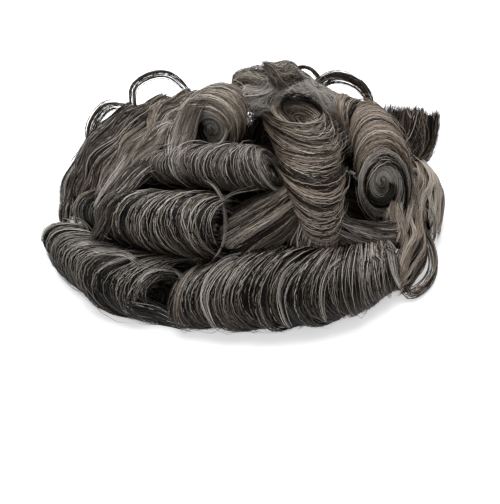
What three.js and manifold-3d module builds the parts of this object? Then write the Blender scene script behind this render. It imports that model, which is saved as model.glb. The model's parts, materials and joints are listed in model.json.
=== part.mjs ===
// A toupee laid on a table: a domed base cap, the mat of root hair knotted to it, and the styled
// hair on top, as rolled curls, combed locks, loops and tufts.
// Millimetres, +Z up. The front roll faces -Y, and the origin is the middle of the footprint.
import * as THREE from "three";
import { mergeVertices } from "three/addons/utils/BufferGeometryUtils.js";
import Module from "manifold-3d";

const wasm = await Module();
wasm.setup();

// Driving dimensions
const capHalfWidth = 92;
const capHalfDepth = 68;
const capHeight = 58;
const capWall = 1.6;
const matThickness = 3;
const matRimHeight = 3; // the root hair stops this far above the table
const clearance = 0.3; // between two pieces that touch
const curlRadius = 25; // the rod that the curls were set on
const lockWidth = 20;
const lockThickness = 10;

// Fineness of the solids
const domeSegments = 28;
const domeRings = 6;
const rollStrandSteps = 12;
const rollAxisSteps = 6;
const envelopeSides = 12;
const lockSides = 8;
const lockSteps = 7;

// Colours of the hair and the base
const hairBrown = 0x3a322d;
const hairWarm = 0x4a3d33;
const hairAsh = 0x4d4a47;
const baseSkin = 0x6b5546;

// The ellipsoid that the root hair fills. Every curl and lock is seated on it.
const capOuter = new THREE.Vector3(capHalfWidth, capHalfDepth, capHeight);
const matInner = capOuter.clone().addScalar(clearance);
const matOuter = matInner.clone().addScalar(matThickness);

// Rolled curls. Each point is a direction from the dome's centre, with the rise of the roll's axis
// over the root hair and the roll's radius, both as shares of curlRadius. The strands start at
// startDeg from the outward side and wind through sweepDeg, and turn says which way round. wall is
// the thickness as a share of the radius, and flare how far the roots reach out to the root hair.
// bow and slant carry the strands along the axis as they go round. A roll with onTable lies on the
// table, so its radius sets its height.
const rolls = [
  { name: "front_roll_right", colour: hairBrown, onTable: true, turn: 1, startDeg: -155,
    sweepDeg: 415, wall: 0.36, flare: 0.4, bow: -0.45, slant: 0.1, points: [
      { x: -0.33, y: -0.95, z: 0, rise: 1.04, radius: 0.82 },
      { x: -0.06, y: -1.0, z: 0, rise: 0.9, radius: 0.96 },
      { x: 0.22, y: -0.98, z: 0, rise: 0.9, radius: 1.06 },
      { x: 0.46, y: -0.89, z: 0, rise: 1.06, radius: 0.97 },
      { x: 0.68, y: -0.74, z: 0, rise: 1.06, radius: 0.84 },
      { x: 0.86, y: -0.52, z: 0, rise: 1.14, radius: 0.7 } ] },
  { name: "front_roll_left", colour: hairAsh, onTable: true, turn: 1, startDeg: -155,
    sweepDeg: 415, wall: 0.36, flare: 0.5, bow: -0.65, slant: 0.1, points: [
      { x: -0.98, y: -0.2, z: 0, rise: 1.3, radius: 0.56 },
      { x: -0.89, y: -0.45, z: 0, rise: 1.22, radius: 0.7 },
      { x: -0.7, y: -0.71, z: 0, rise: 1.28, radius: 0.84 },
      { x: -0.48, y: -0.88, z: 0, rise: 1.16, radius: 0.88 } ] },
  { name: "middle_roll", colour: hairBrown, turn: 1, startDeg: -155,
    sweepDeg: 415, wall: 0.36, flare: 0.4, bow: -0.75, slant: 0.1, points: [
      { x: -0.95, y: -0.1, z: 0.3, rise: 0.58, radius: 0.54 },
      { x: -0.71, y: -0.46, z: 0.54, rise: 0.7, radius: 0.8 },
      { x: -0.42, y: -0.65, z: 0.64, rise: 0.78, radius: 0.98 },
      { x: -0.13, y: -0.72, z: 0.68, rise: 0.78, radius: 0.96 } ] },
  { name: "upper_roll", colour: hairAsh, turn: 1, startDeg: -155,
    sweepDeg: 415, wall: 0.36, flare: 0.3, bow: -0.7, slant: 0, points: [
      { x: -0.64, y: -0.04, z: 0.77, rise: 0.5, radius: 0.46 },
      { x: -0.37, y: -0.19, z: 0.91, rise: 0.6, radius: 0.62 },
      { x: -0.09, y: -0.28, z: 0.96, rise: 0.67, radius: 0.74 },
      { x: 0.17, y: -0.27, z: 0.94, rise: 0.69, radius: 0.72 } ] },
  { name: "crown_barrel", colour: hairWarm, turn: 1, startDeg: -130,
    sweepDeg: 440, wall: 0.32, flare: 0.5, bow: 0.3, slant: 0, points: [
      { x: -0.22, y: 0.07, z: 0.97, rise: 0.97, radius: 0.88 },
      { x: -0.18, y: 0.21, z: 0.96, rise: 1.0, radius: 0.94 },
      { x: -0.12, y: 0.46, z: 0.88, rise: 1.0, radius: 0.78 } ] },
  { name: "centre_column", colour: hairWarm, turn: -1, startDeg: -130,
    sweepDeg: 415, wall: 0.34, flare: 0.2, bow: 1.1, slant: 0.3, points: [
      { x: 0.31, y: 0.25, z: 0.92, rise: 1.34, radius: 0.78 },
      { x: 0.4, y: 0.11, z: 0.91, rise: 0.86, radius: 0.9 },
      { x: 0.45, y: -0.18, z: 0.87, rise: 0.62, radius: 0.86 },
      { x: 0.49, y: -0.42, z: 0.77, rise: 0.42, radius: 0.74 },
      { x: 0.51, y: -0.57, z: 0.65, rise: 0.3, radius: 0.54 } ] },
  { name: "spiral_column", colour: hairWarm, turn: 1, startDeg: -150,
    sweepDeg: 460, wall: 0.3, flare: 0.5, bow: -0.8, slant: -0.6, points: [
      { x: 0.58, y: 0.55, z: 0.6, rise: 1.22, radius: 0.54 },
      { x: 0.72, y: 0.44, z: 0.54, rise: 1.18, radius: 0.72 },
      { x: 0.79, y: 0.14, z: 0.59, rise: 1.05, radius: 0.82 },
      { x: 0.83, y: -0.12, z: 0.54, rise: 0.95, radius: 0.88 } ] },
  { name: "back_roll_left", colour: hairBrown, onTable: true, turn: -1, startDeg: -155,
    sweepDeg: 415, wall: 0.36, flare: 0.7, bow: -0.3, slant: 0, points: [
      { x: -0.95, y: 0.31, z: 0, rise: 0.8, radius: 0.7 },
      { x: -0.72, y: 0.7, z: 0, rise: 0.85, radius: 0.84 },
      { x: -0.38, y: 0.93, z: 0, rise: 0.85, radius: 0.88 },
      { x: -0.03, y: 1.0, z: 0, rise: 0.85, radius: 0.82 } ] },
  { name: "back_roll_right", colour: hairBrown, onTable: true, turn: -1, startDeg: -155,
    sweepDeg: 415, wall: 0.36, flare: 0.7, bow: 0.3, slant: 0, points: [
      { x: 0.1, y: 1.0, z: 0, rise: 0.85, radius: 0.78 },
      { x: 0.42, y: 0.9, z: 0, rise: 0.85, radius: 0.86 },
      { x: 0.72, y: 0.7, z: 0, rise: 0.85, radius: 0.84 },
      { x: 0.95, y: 0.3, z: 0, rise: 0.9, radius: 0.7 } ] },
  { name: "back_wave_left", colour: hairAsh, turn: -1, startDeg: -155,
    sweepDeg: 415, wall: 0.36, flare: 0.4, bow: -0.3, slant: 0, points: [
      { x: -0.72, y: 0.42, z: 0.56, rise: 0.66, radius: 0.7 },
      { x: -0.42, y: 0.66, z: 0.62, rise: 0.74, radius: 0.86 },
      { x: -0.06, y: 0.76, z: 0.64, rise: 0.74, radius: 0.82 } ] },
  { name: "back_wave_right", colour: hairAsh, turn: -1, startDeg: -155,
    sweepDeg: 415, wall: 0.36, flare: 0.4, bow: 0.3, slant: 0, points: [
      { x: 0.1, y: 0.77, z: 0.63, rise: 0.74, radius: 0.8 },
      { x: 0.42, y: 0.68, z: 0.6, rise: 0.74, radius: 0.84 },
      { x: 0.74, y: 0.48, z: 0.47, rise: 0.7, radius: 0.72 } ] },
];

// Combed locks, loops and tufts. The strands run along the path. rise is a share of curlRadius,
// width and thick are shares of lockWidth and lockThickness, and twistDeg turns the flat lock
// about its path.
const locks = [
  { name: "left_wave_upper", colour: hairBrown, twistDeg: 0, points: [
      { x: -0.3, y: 0.62, z: 0.73, rise: 1.2, width: 1.0, thick: 1.8 },
      { x: -0.49, y: 0.45, z: 0.74, rise: 0.96, width: 1.3, thick: 2.2 },
      { x: -0.67, y: 0.12, z: 0.73, rise: 0.82, width: 1.4, thick: 2.0 },
      { x: -0.84, y: -0.02, z: 0.54, rise: 0.62, width: 1.3, thick: 1.6 } ] },
  { name: "left_wave_lower", colour: hairBrown, twistDeg: 0, points: [
      { x: -0.46, y: 0.6, z: 0.65, rise: 1.3, width: 1.1, thick: 1.8 },
      { x: -0.64, y: 0.42, z: 0.64, rise: 1.1, width: 1.4, thick: 2.2 },
      { x: -0.84, y: 0.18, z: 0.51, rise: 1.0, width: 1.5, thick: 2.2 },
      { x: -0.95, y: 0.0, z: 0.32, rise: 0.86, width: 1.4, thick: 1.8 } ] },
  { name: "left_edge_lock", colour: hairAsh, twistDeg: 0, points: [
      { x: -0.62, y: 0.56, z: 0.55, rise: 1.56, width: 0.9, thick: 1.4 },
      { x: -0.77, y: 0.45, z: 0.45, rise: 1.4, width: 1.2, thick: 1.8 },
      { x: -0.91, y: 0.3, z: 0.28, rise: 1.24, width: 1.3, thick: 1.8 },
      { x: -0.98, y: 0.12, z: 0.16, rise: 1.16, width: 1.1, thick: 1.6 },
      { x: -1.0, y: -0.01, z: 0.09, rise: 1.14, width: 0.8, thick: 1.2 } ] },
  { name: "combed_fan", colour: hairBrown, twistDeg: 0, points: [
      { x: 0.42, y: -0.32, z: 0.85, rise: 0.3, width: 1.0, thick: 1.4 },
      { x: 0.17, y: -0.63, z: 0.75, rise: 0.32, width: 1.7, thick: 1.4 },
      { x: -0.1, y: -0.8, z: 0.59, rise: 0.38, width: 1.8, thick: 1.4 },
      { x: -0.31, y: -0.86, z: 0.4, rise: 0.38, width: 1.6, thick: 1.4 } ] },
  { name: "front_fan", colour: hairBrown, twistDeg: 0, points: [
      { x: 0.5, y: -0.42, z: 0.76, rise: 0.3, width: 1.2, thick: 1.4 },
      { x: 0.54, y: -0.66, z: 0.52, rise: 0.36, width: 2.4, thick: 1.4 },
      { x: 0.53, y: -0.79, z: 0.3, rise: 0.36, width: 2.8, thick: 1.4 } ] },
  { name: "spiral_band", colour: hairAsh, twistDeg: 0, points: [
      { x: 0.5, y: -0.56, z: 0.66, rise: 0.5, width: 0.8, thick: 1.2 },
      { x: 0.67, y: -0.55, z: 0.5, rise: 0.52, width: 0.9, thick: 1.2 },
      { x: 0.87, y: -0.4, z: 0.3, rise: 0.64, width: 1.0, thick: 1.3 },
      { x: 0.98, y: -0.11, z: 0.18, rise: 0.78, width: 1.0, thick: 1.3 } ] },
  { name: "right_side_upper", colour: hairWarm, twistDeg: 0, points: [
      { x: 0.9, y: 0.34, z: 0.27, rise: 1.28, width: 1.3, thick: 1.8 },
      { x: 0.95, y: 0.2, z: 0.24, rise: 1.44, width: 1.7, thick: 2.0 },
      { x: 0.98, y: 0.06, z: 0.17, rise: 1.38, width: 1.8, thick: 2.0 },
      { x: 0.98, y: -0.13, z: 0.12, rise: 1.29, width: 1.5, thick: 1.8 } ] },
  { name: "right_side_lower", colour: hairWarm, twistDeg: 0, points: [
      { x: 0.9, y: 0.15, z: 0.44, rise: 0.7, width: 1.2, thick: 1.8 },
      { x: 0.95, y: 0.0, z: 0.31, rise: 0.74, width: 1.5, thick: 1.9 },
      { x: 0.96, y: -0.18, z: 0.22, rise: 0.74, width: 1.5, thick: 1.8 },
      { x: 0.92, y: -0.36, z: 0.15, rise: 0.78, width: 1.3, thick: 1.6 } ] },
  { name: "right_front_lock", colour: hairWarm, twistDeg: 0, points: [
      { x: 0.98, y: -0.06, z: 0.2, rise: 1.0, width: 1.0, thick: 1.6 },
      { x: 0.94, y: -0.3, z: 0.14, rise: 1.2, width: 1.2, thick: 1.6 },
      { x: 0.85, y: -0.51, z: 0.1, rise: 1.5, width: 1.0, thick: 1.3 },
      { x: 0.79, y: -0.6, z: 0.08, rise: 1.6, width: 0.6, thick: 1.0 } ] },
  { name: "right_end_loop", colour: hairWarm, twistDeg: 0, points: [
      { x: 0.98, y: -0.08, z: 0.2, rise: 1.1, width: 0.5, thick: 0.6 },
      { x: 0.97, y: -0.22, z: 0.07, rise: 1.52, width: 0.6, thick: 0.6 },
      { x: 0.94, y: -0.34, z: 0.04, rise: 1.8, width: 0.6, thick: 0.6 },
      { x: 0.88, y: -0.47, z: 0.04, rise: 1.96, width: 0.5, thick: 0.6 },
      { x: 0.83, y: -0.56, z: 0.05, rise: 1.9, width: 0.5, thick: 0.6 },
      { x: 0.82, y: -0.56, z: 0.08, rise: 1.5, width: 0.5, thick: 0.6 } ] },
  { name: "brush_lock", colour: hairWarm, twistDeg: 90, points: [
      { x: 0.85, y: 0.25, z: 0.45, rise: 0.6, width: 1.2, thick: 1.0 },
      { x: 0.88, y: 0.29, z: 0.36, rise: 1.1, width: 1.4, thick: 1.1 },
      { x: 0.86, y: 0.34, z: 0.37, rise: 1.66, width: 1.7, thick: 1.1 },
      { x: 0.83, y: 0.39, z: 0.41, rise: 2.15, width: 1.8, thick: 1.0 },
      { x: 0.8, y: 0.42, z: 0.43, rise: 2.52, width: 1.8, thick: 0.9 } ] },
  { name: "crown_mound", colour: hairAsh, twistDeg: 0, points: [
      { x: 0.0, y: 0.56, z: 0.82, rise: 1.0, width: 1.6, thick: 2.4 },
      { x: 0.21, y: 0.6, z: 0.77, rise: 1.3, width: 1.7, thick: 2.4 },
      { x: 0.4, y: 0.6, z: 0.69, rise: 1.36, width: 1.5, thick: 2.2 },
      { x: 0.54, y: 0.56, z: 0.62, rise: 1.2, width: 1.2, thick: 1.8 } ] },
  { name: "crown_tuft_right", colour: hairBrown, twistDeg: 90, points: [
      { x: 0.37, y: 0.62, z: 0.69, rise: 1.6, width: 0.7, thick: 1.0 },
      { x: 0.25, y: 0.52, z: 0.81, rise: 1.84, width: 0.9, thick: 1.0 },
      { x: 0.17, y: 0.45, z: 0.88, rise: 2.06, width: 0.7, thick: 0.8 },
      { x: 0.09, y: 0.38, z: 0.92, rise: 2.4, width: 0.14, thick: 0.24 } ] },
  { name: "crown_tuft_left", colour: hairBrown, twistDeg: 90, points: [
      { x: 0.17, y: 0.64, z: 0.75, rise: 1.6, width: 0.7, thick: 1.0 },
      { x: 0.07, y: 0.58, z: 0.81, rise: 1.76, width: 0.8, thick: 1.0 },
      { x: -0.03, y: 0.62, z: 0.78, rise: 1.64, width: 0.5, thick: 0.8 },
      { x: -0.07, y: 0.66, z: 0.75, rise: 1.4, width: 0.3, thick: 0.4 } ] },
  { name: "loop_right", colour: hairBrown, twistDeg: 90, points: [
      { x: 0.36, y: 0.62, z: 0.69, rise: 1.5, width: 0.4, thick: 0.5 },
      { x: 0.44, y: 0.62, z: 0.65, rise: 2.06, width: 0.44, thick: 0.5 },
      { x: 0.51, y: 0.6, z: 0.62, rise: 2.24, width: 0.44, thick: 0.5 },
      { x: 0.59, y: 0.56, z: 0.58, rise: 2.22, width: 0.42, thick: 0.5 },
      { x: 0.65, y: 0.53, z: 0.54, rise: 2.0, width: 0.36, thick: 0.5 },
      { x: 0.67, y: 0.5, z: 0.55, rise: 1.66, width: 0.3, thick: 0.5 } ] },
  { name: "loop_left", colour: hairBrown, twistDeg: 90, points: [
      { x: -0.62, y: 0.52, z: 0.58, rise: 1.6, width: 0.26, thick: 0.3 },
      { x: -0.58, y: 0.57, z: 0.59, rise: 2.12, width: 0.26, thick: 0.3 },
      { x: -0.49, y: 0.61, z: 0.62, rise: 2.24, width: 0.26, thick: 0.3 },
      { x: -0.41, y: 0.64, z: 0.65, rise: 2.12, width: 0.24, thick: 0.3 },
      { x: -0.35, y: 0.65, z: 0.67, rise: 1.74, width: 0.22, thick: 0.3 },
      { x: -0.31, y: 0.63, z: 0.71, rise: 1.3, width: 0.2, thick: 0.3 } ] },
  { name: "loop_left_side", colour: hairAsh, twistDeg: 90, points: [
      { x: -0.86, y: 0.36, z: 0.38, rise: 1.3, width: 0.3, thick: 0.3 },
      { x: -0.82, y: 0.41, z: 0.42, rise: 1.8, width: 0.4, thick: 0.3 },
      { x: -0.76, y: 0.46, z: 0.47, rise: 2.02, width: 0.4, thick: 0.3 },
      { x: -0.7, y: 0.5, z: 0.51, rise: 2.04, width: 0.4, thick: 0.3 },
      { x: -0.63, y: 0.52, z: 0.57, rise: 1.7, width: 0.3, thick: 0.3 } ] },
  { name: "loop_top", colour: hairBrown, twistDeg: 90, points: [
      { x: 0.23, y: 0.64, z: 0.73, rise: 1.9, width: 0.22, thick: 0.3 },
      { x: 0.3, y: 0.66, z: 0.68, rise: 2.14, width: 0.22, thick: 0.3 },
      { x: 0.36, y: 0.65, z: 0.67, rise: 2.1, width: 0.22, thick: 0.3 },
      { x: 0.42, y: 0.63, z: 0.65, rise: 1.84, width: 0.22, thick: 0.3 } ] },
];

// The point of the root hair's surface in a row's direction, raised along the outward normal.
function seatOnMat(row, onTable) {
  const direction = new THREE.Vector3(row.x, row.y, row.z).normalize();
  const point = direction.clone().multiply(matOuter);
  const outward = direction.divide(matOuter).normalize();
  point.addScaledVector(outward, row.rise * curlRadius);
  if (onTable) {
    point.z = restHeight * row.radius * curlRadius;
  }
  return { point, outward };
}

// A smooth line through the seated points, with the outward direction along it.
function spineThrough(points, onTable) {
  const seats = points.map((row) => seatOnMat(row, onTable));
  const lowest = lockThickness / 4;
  seats.forEach((seat) => seat.point.setZ(Math.max(seat.point.z, lowest)));
  return {
    points,
    line: new THREE.CatmullRomCurve3(seats.map((seat) => seat.point)),
    outwards: new THREE.CatmullRomCurve3(seats.map((seat) => seat.outward)),
  };
}

function frameAt(spine, along) {
  const tangent = spine.line.getTangent(along);
  const outward = spine.outwards.getPoint(along);
  outward.addScaledVector(tangent, -outward.dot(tangent)).normalize();
  const side = tangent.clone().cross(outward);
  return { centre: spine.line.getPoint(along), tangent, outward, side };
}

// A column of a table, read between its rows.
function shareAt(points, column, along) {
  const place = along * (points.length - 1);
  const row = Math.min(Math.floor(place), points.length - 2);
  return THREE.MathUtils.lerp(points[row][column], points[row + 1][column], place - row);
}

function solidFromFaces(points, faces) {
  const geometry = new THREE.BufferGeometry();
  const coordinates = points.flatMap((point) => point.toArray());
  geometry.setAttribute("position", new THREE.Float32BufferAttribute(coordinates, 3));
  geometry.setIndex(faces.flat());
  const merged = mergeVertices(geometry, 1e-4);
  const solid = new wasm.Manifold(new wasm.Mesh({
    numProp: 3,
    vertProperties: new Float32Array(merged.attributes.position.array),
    triVerts: new Uint32Array(merged.index.array),
  }));
  if (solid.volume() > 0) {
    return solid;
  }
  return solidFromFaces(points, faces.map((face) => [...face].reverse()));
}

// Rings of equal length joined in turn, with a point closing each end.
function solidFromRings(rings, startPoint, endPoint) {
  const count = rings[0].length;
  const points = [startPoint, ...rings.flat(), endPoint];
  const at = (ring, step) => 1 + ring * count + (step % count);
  const faces = [];
  for (let step = 0; step < count; step += 1) {
    faces.push([0, at(0, step + 1), at(0, step)]);
    faces.push([points.length - 1, at(rings.length - 1, step), at(rings.length - 1, step + 1)]);
    for (let ring = 0; ring + 1 < rings.length; ring += 1) {
      faces.push([at(ring, step), at(ring, step + 1), at(ring + 1, step + 1)]);
      faces.push([at(ring, step), at(ring + 1, step + 1), at(ring + 1, step)]);
    }
  }
  return solidFromFaces(points, faces);
}

// Two sheets of points, one inside the other, joined along their four edges.
function solidFromSheets(outer, inner) {
  const loops = outer.map((row, index) => [...row, ...[...inner[index]].reverse()]);
  const count = loops[0].length;
  const at = (loop, step) => loop * count + (step % count);
  const faces = [];
  for (let step = 0; step < count; step += 1) {
    for (let loop = 0; loop + 1 < loops.length; loop += 1) {
      faces.push([at(loop, step), at(loop, step + 1), at(loop + 1, step + 1)]);
      faces.push([at(loop, step), at(loop + 1, step + 1), at(loop + 1, step)]);
    }
  }
  const last = loops.length - 1;
  for (let step = 0; step + 1 < count / 2; step += 1) {
    const back = count - 1 - step;
    faces.push([at(0, step), at(0, back), at(0, back - 1)]);
    faces.push([at(0, step), at(0, back - 1), at(0, step + 1)]);
    faces.push([at(last, step), at(last, step + 1), at(last, back - 1)]);
    faces.push([at(last, step), at(last, back - 1), at(last, back)]);
  }
  return solidFromFaces(loops.flat(), faces);
}

// The domes

const nearApex = THREE.MathUtils.degToRad(80);

function domeRing(radii, latitude) {
  const ring = [];
  for (let step = 0; step < domeSegments; step += 1) {
    const azimuth = (2 * Math.PI * step) / domeSegments;
    ring.push(new THREE.Vector3(
      radii.x * Math.cos(latitude) * Math.cos(azimuth),
      radii.y * Math.cos(latitude) * Math.sin(azimuth),
      radii.z * Math.sin(latitude),
    ));
  }
  return ring;
}

// All domes have their rings at the same latitudes but the last, so their facets run parallel.
function domeRingsFrom(radii, rimHeight) {
  const rings = [];
  for (let ring = 0; ring < domeRings; ring += 1) {
    rings.push(domeRing(radii, nearApex * (1 - ring / domeRings)));
  }
  rings.push(domeRing(radii, Math.asin(rimHeight / radii.z)));
  return rings;
}

function domeShell(outer, inner, rimHeight) {
  const rings = [
    ...domeRingsFrom(outer, rimHeight),
    ...domeRingsFrom(inner, rimHeight).reverse(),
  ];
  return solidFromRings(
    rings,
    new THREE.Vector3(0, 0, outer.z),
    new THREE.Vector3(0, 0, inner.z),
  );
}

// The filled dome, with a straight skirt below the table's top, that the curls stay clear of.
function domeCore(radii, rimHeight) {
  const rings = domeRingsFrom(radii, rimHeight);
  const skirt = rings[domeRings].map((point) => point.clone().setZ(-radii.z));
  return solidFromRings(
    [...rings, skirt],
    new THREE.Vector3(0, 0, radii.z),
    new THREE.Vector3(0, 0, -radii.z),
  );
}

// Rolled curls

const pitchShare = 0.06; // the slot between two turns of a roll, as a share of its radius
const windPower = 2.2; // a roll keeps its radius at first, and winds in late
const flareReach = 0.22; // the part of a strand that comes in from the root hair
const restHeight = 0.8; // the axis of a roll on the table, as a share of its radius

// How far a strand has wound in, as a share of the radius.
function woundIn(roll, strand) {
  const turns = (strand * roll.sweepDeg) / 360;
  return (roll.wall + pitchShare) * (turns < 1 ? turns ** windPower : turns);
}

// How far a strand still stands out towards its root, as a share of the radius.
function flaredOut(roll, strand) {
  const left = Math.max(0, 1 - strand / flareReach);
  return roll.flare * left ** 2;
}

// A point of a roll: round its axis by an angle, at a radius.
function pointRound(roll, frame, angle, radius) {
  const along = radius * (roll.bow * Math.cos(angle) + roll.slant * Math.sin(angle));
  return frame.centre.clone()
    .addScaledVector(frame.outward, radius * Math.cos(angle))
    .addScaledVector(frame.side, radius * Math.sin(angle))
    .addScaledVector(frame.tangent, along);
}

function rollSolid(roll) {
  const spine = spineThrough(roll.points, roll.onTable);
  const outer = [];
  const inner = [];
  for (let strandStep = 0; strandStep <= rollStrandSteps; strandStep += 1) {
    const strand = strandStep / rollStrandSteps;
    const degrees = roll.turn * (roll.startDeg + strand * roll.sweepDeg);
    const angle = THREE.MathUtils.degToRad(degrees);
    const outerRow = [];
    const innerRow = [];
    for (let axisStep = 0; axisStep <= rollAxisSteps; axisStep += 1) {
      const along = axisStep / rollAxisSteps;
      const frame = frameAt(spine, along);
      const radius = shareAt(roll.points, "radius", along) * curlRadius;
      const outerRadius = radius * (1 - woundIn(roll, strand) + flaredOut(roll, strand));
      outerRow.push(pointRound(roll, frame, angle, outerRadius));
      innerRow.push(pointRound(roll, frame, angle, outerRadius - roll.wall * radius));
    }
    outer.push(outerRow);
    inner.push(innerRow);
  }
  return solidFromSheets(outer, inner);
}

// The room that a roll takes, which its neighbours stay clear of. The more its strands slant, the
// wider the margin, because its facets then lie further off those of the room.
function rollEnvelope(roll) {
  const spine = spineThrough(roll.points, roll.onTable);
  const margin = clearance * (1 + Math.abs(roll.bow) + Math.abs(roll.slant));
  const rings = [];
  for (let axisStep = 0; axisStep <= rollAxisSteps; axisStep += 1) {
    const along = axisStep / rollAxisSteps;
    const frame = frameAt(spine, along);
    const radius = shareAt(roll.points, "radius", along) * curlRadius;
    const ring = [];
    for (let side = 0; side < envelopeSides; side += 1) {
      const round = (360 * side) / envelopeSides;
      const angle = THREE.MathUtils.degToRad(roll.turn * (roll.startDeg + round));
      const flared = radius * (1 + flaredOut(roll, round / roll.sweepDeg));
      const reach = (flared + margin) / Math.cos(Math.PI / envelopeSides);
      ring.push(pointRound(roll, frame, angle, reach));
    }
    rings.push(ring);
  }
  const start = frameAt(spine, 0);
  const end = frameAt(spine, 1);
  const gap = 1.5 * clearance;
  rings[0].forEach((point) => point.addScaledVector(start.tangent, -gap));
  rings[rollAxisSteps].forEach((point) => point.addScaledVector(end.tangent, gap));
  return solidFromRings(
    rings,
    start.centre.addScaledVector(start.tangent, -gap),
    end.centre.addScaledVector(end.tangent, gap),
  );
}

// Combed locks

// A lock, or with a margin the room that it takes.
function lockSolid(lock, margin) {
  const spine = spineThrough(lock.points, false);
  const twist = THREE.MathUtils.degToRad(lock.twistDeg);
  const rings = [];
  for (let step = 0; step <= lockSteps; step += 1) {
    const along = step / lockSteps;
    const frame = frameAt(spine, along);
    const halfWidth = (shareAt(lock.points, "width", along) * lockWidth) / 2 + margin;
    const halfThick = (shareAt(lock.points, "thick", along) * lockThickness) / 2 + margin;
    const across = frame.side.clone().applyAxisAngle(frame.tangent, twist);
    const up = frame.outward.clone().applyAxisAngle(frame.tangent, twist);
    const ring = [];
    for (let side = 0; side < lockSides; side += 1) {
      const angle = (2 * Math.PI * side) / lockSides;
      ring.push(frame.centre.clone()
        .addScaledVector(across, halfWidth * Math.cos(angle))
        .addScaledVector(up, halfThick * Math.sin(angle)));
    }
    rings.push(ring);
  }
  const start = frameAt(spine, 0);
  const end = frameAt(spine, 1);
  rings[0].forEach((point) => point.addScaledVector(start.tangent, -margin));
  rings[lockSteps].forEach((point) => point.addScaledVector(end.tangent, margin));
  return solidFromRings(
    rings,
    start.centre.addScaledVector(start.tangent, -margin),
    end.centre.addScaledVector(end.tangent, margin),
  );
}

// Everything under the table's top, cut from what lies on it.
function underTable() {
  const reach = 4 * capHalfWidth;
  const box = new THREE.BoxGeometry(2 * reach, 2 * reach, reach);
  box.translate(0, 0, -reach / 2);
  box.deleteAttribute("normal");
  box.deleteAttribute("uv");
  const merged = mergeVertices(box);
  return new wasm.Manifold(new wasm.Mesh({
    numProp: 3,
    vertProperties: new Float32Array(merged.attributes.position.array),
    triVerts: new Uint32Array(merged.index.array),
  }));
}

function largestBody(solid) {
  const bodies = solid.decompose();
  return bodies.reduce((best, body) => (body.volume() > best.volume() ? body : best));
}

function meshFromSolid(name, colour, solid) {
  const mesh = solid.getMesh();
  const geometry = new THREE.BufferGeometry();
  const vertices = new Float32Array(mesh.vertProperties);
  geometry.setAttribute("position", new THREE.BufferAttribute(vertices, 3));
  geometry.setIndex(new THREE.BufferAttribute(new Uint32Array(mesh.triVerts), 1));
  geometry.computeVertexNormals();
  const finish = { color: colour, roughness: 0.55, metalness: 0, flatShading: true };
  const part = new THREE.Mesh(geometry, new THREE.MeshStandardMaterial(finish));
  part.name = name;
  return part;
}

// Assembly. Each curl and lock is cut by the room that the pieces before it take.
const simplifyTolerance = 0.12;
const hairpiece = new THREE.Group();

const capInner = capOuter.clone().addScalar(-capWall);
hairpiece.add(meshFromSolid("base_cap", baseSkin, domeShell(capOuter, capInner, 0)));
hairpiece.add(meshFromSolid("hair_mat", hairBrown, domeShell(matOuter, matInner, matRimHeight)));

let taken = domeCore(matOuter.clone().addScalar(clearance), matRimHeight).add(underTable());

function addPiece(row, solid, envelope) {
  const trimmed = largestBody(solid.subtract(taken)).simplify(simplifyTolerance);
  hairpiece.add(meshFromSolid(row.name, row.colour, trimmed));
  taken = taken.add(envelope);
}

rolls.forEach((roll) => addPiece(roll, rollSolid(roll), rollEnvelope(roll)));
locks.forEach((lock) => addPiece(lock, lockSolid(lock, 0), lockSolid(lock, 1.4 * clearance)));

// The origin goes to the middle of the footprint.
const bounds = new THREE.Box3().setFromObject(hairpiece);
const middle = bounds.getCenter(new THREE.Vector3());
hairpiece.position.set(-middle.x, -middle.y, -bounds.min.z);

const toupee = new THREE.Group();
toupee.add(hairpiece);

export default toupee;
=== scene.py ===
# A toupee of curled brown hair with grey strands, lying on a pale table.
# Every curl and lock is a bundle of fibres wound or combed over a darker core.
import json
import math
from collections import namedtuple

import bpy
import numpy as np
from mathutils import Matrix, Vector
from mathutils.bvhtree import BVHTree

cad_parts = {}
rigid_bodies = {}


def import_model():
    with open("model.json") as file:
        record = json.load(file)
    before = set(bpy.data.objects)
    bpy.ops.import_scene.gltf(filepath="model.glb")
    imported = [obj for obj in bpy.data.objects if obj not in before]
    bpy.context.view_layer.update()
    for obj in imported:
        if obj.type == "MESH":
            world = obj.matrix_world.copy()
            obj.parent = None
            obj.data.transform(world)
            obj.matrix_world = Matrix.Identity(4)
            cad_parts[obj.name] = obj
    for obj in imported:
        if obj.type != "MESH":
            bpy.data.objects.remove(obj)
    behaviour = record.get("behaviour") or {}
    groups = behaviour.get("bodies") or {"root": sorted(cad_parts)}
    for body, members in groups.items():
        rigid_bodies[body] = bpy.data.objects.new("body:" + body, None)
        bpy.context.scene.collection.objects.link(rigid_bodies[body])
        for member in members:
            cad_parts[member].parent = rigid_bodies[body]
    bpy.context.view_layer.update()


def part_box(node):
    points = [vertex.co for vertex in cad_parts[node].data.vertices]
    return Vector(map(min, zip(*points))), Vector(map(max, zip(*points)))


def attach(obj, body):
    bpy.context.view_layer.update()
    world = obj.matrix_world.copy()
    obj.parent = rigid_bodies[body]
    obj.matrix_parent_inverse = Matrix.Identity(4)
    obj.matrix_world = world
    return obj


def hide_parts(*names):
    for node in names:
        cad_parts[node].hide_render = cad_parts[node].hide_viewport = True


MM = 0.001
RNG = np.random.default_rng(11)

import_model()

# Sizes of the hairpiece, in millimetres, as the solids have them
MAT_OVER_CAP = 3.3
CURL_RADIUS = 25
LOCK_WIDTH = 20
LOCK_THICKNESS = 10

# How the solids' curls lie and wind: shares of the radius or the strand, and the power by which
# the first turn draws in
REST_HEIGHT = 0.8
PITCH_SHARE = 0.06
WIND_POWER = 2.2
FLARE_REACH = 0.22

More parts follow.
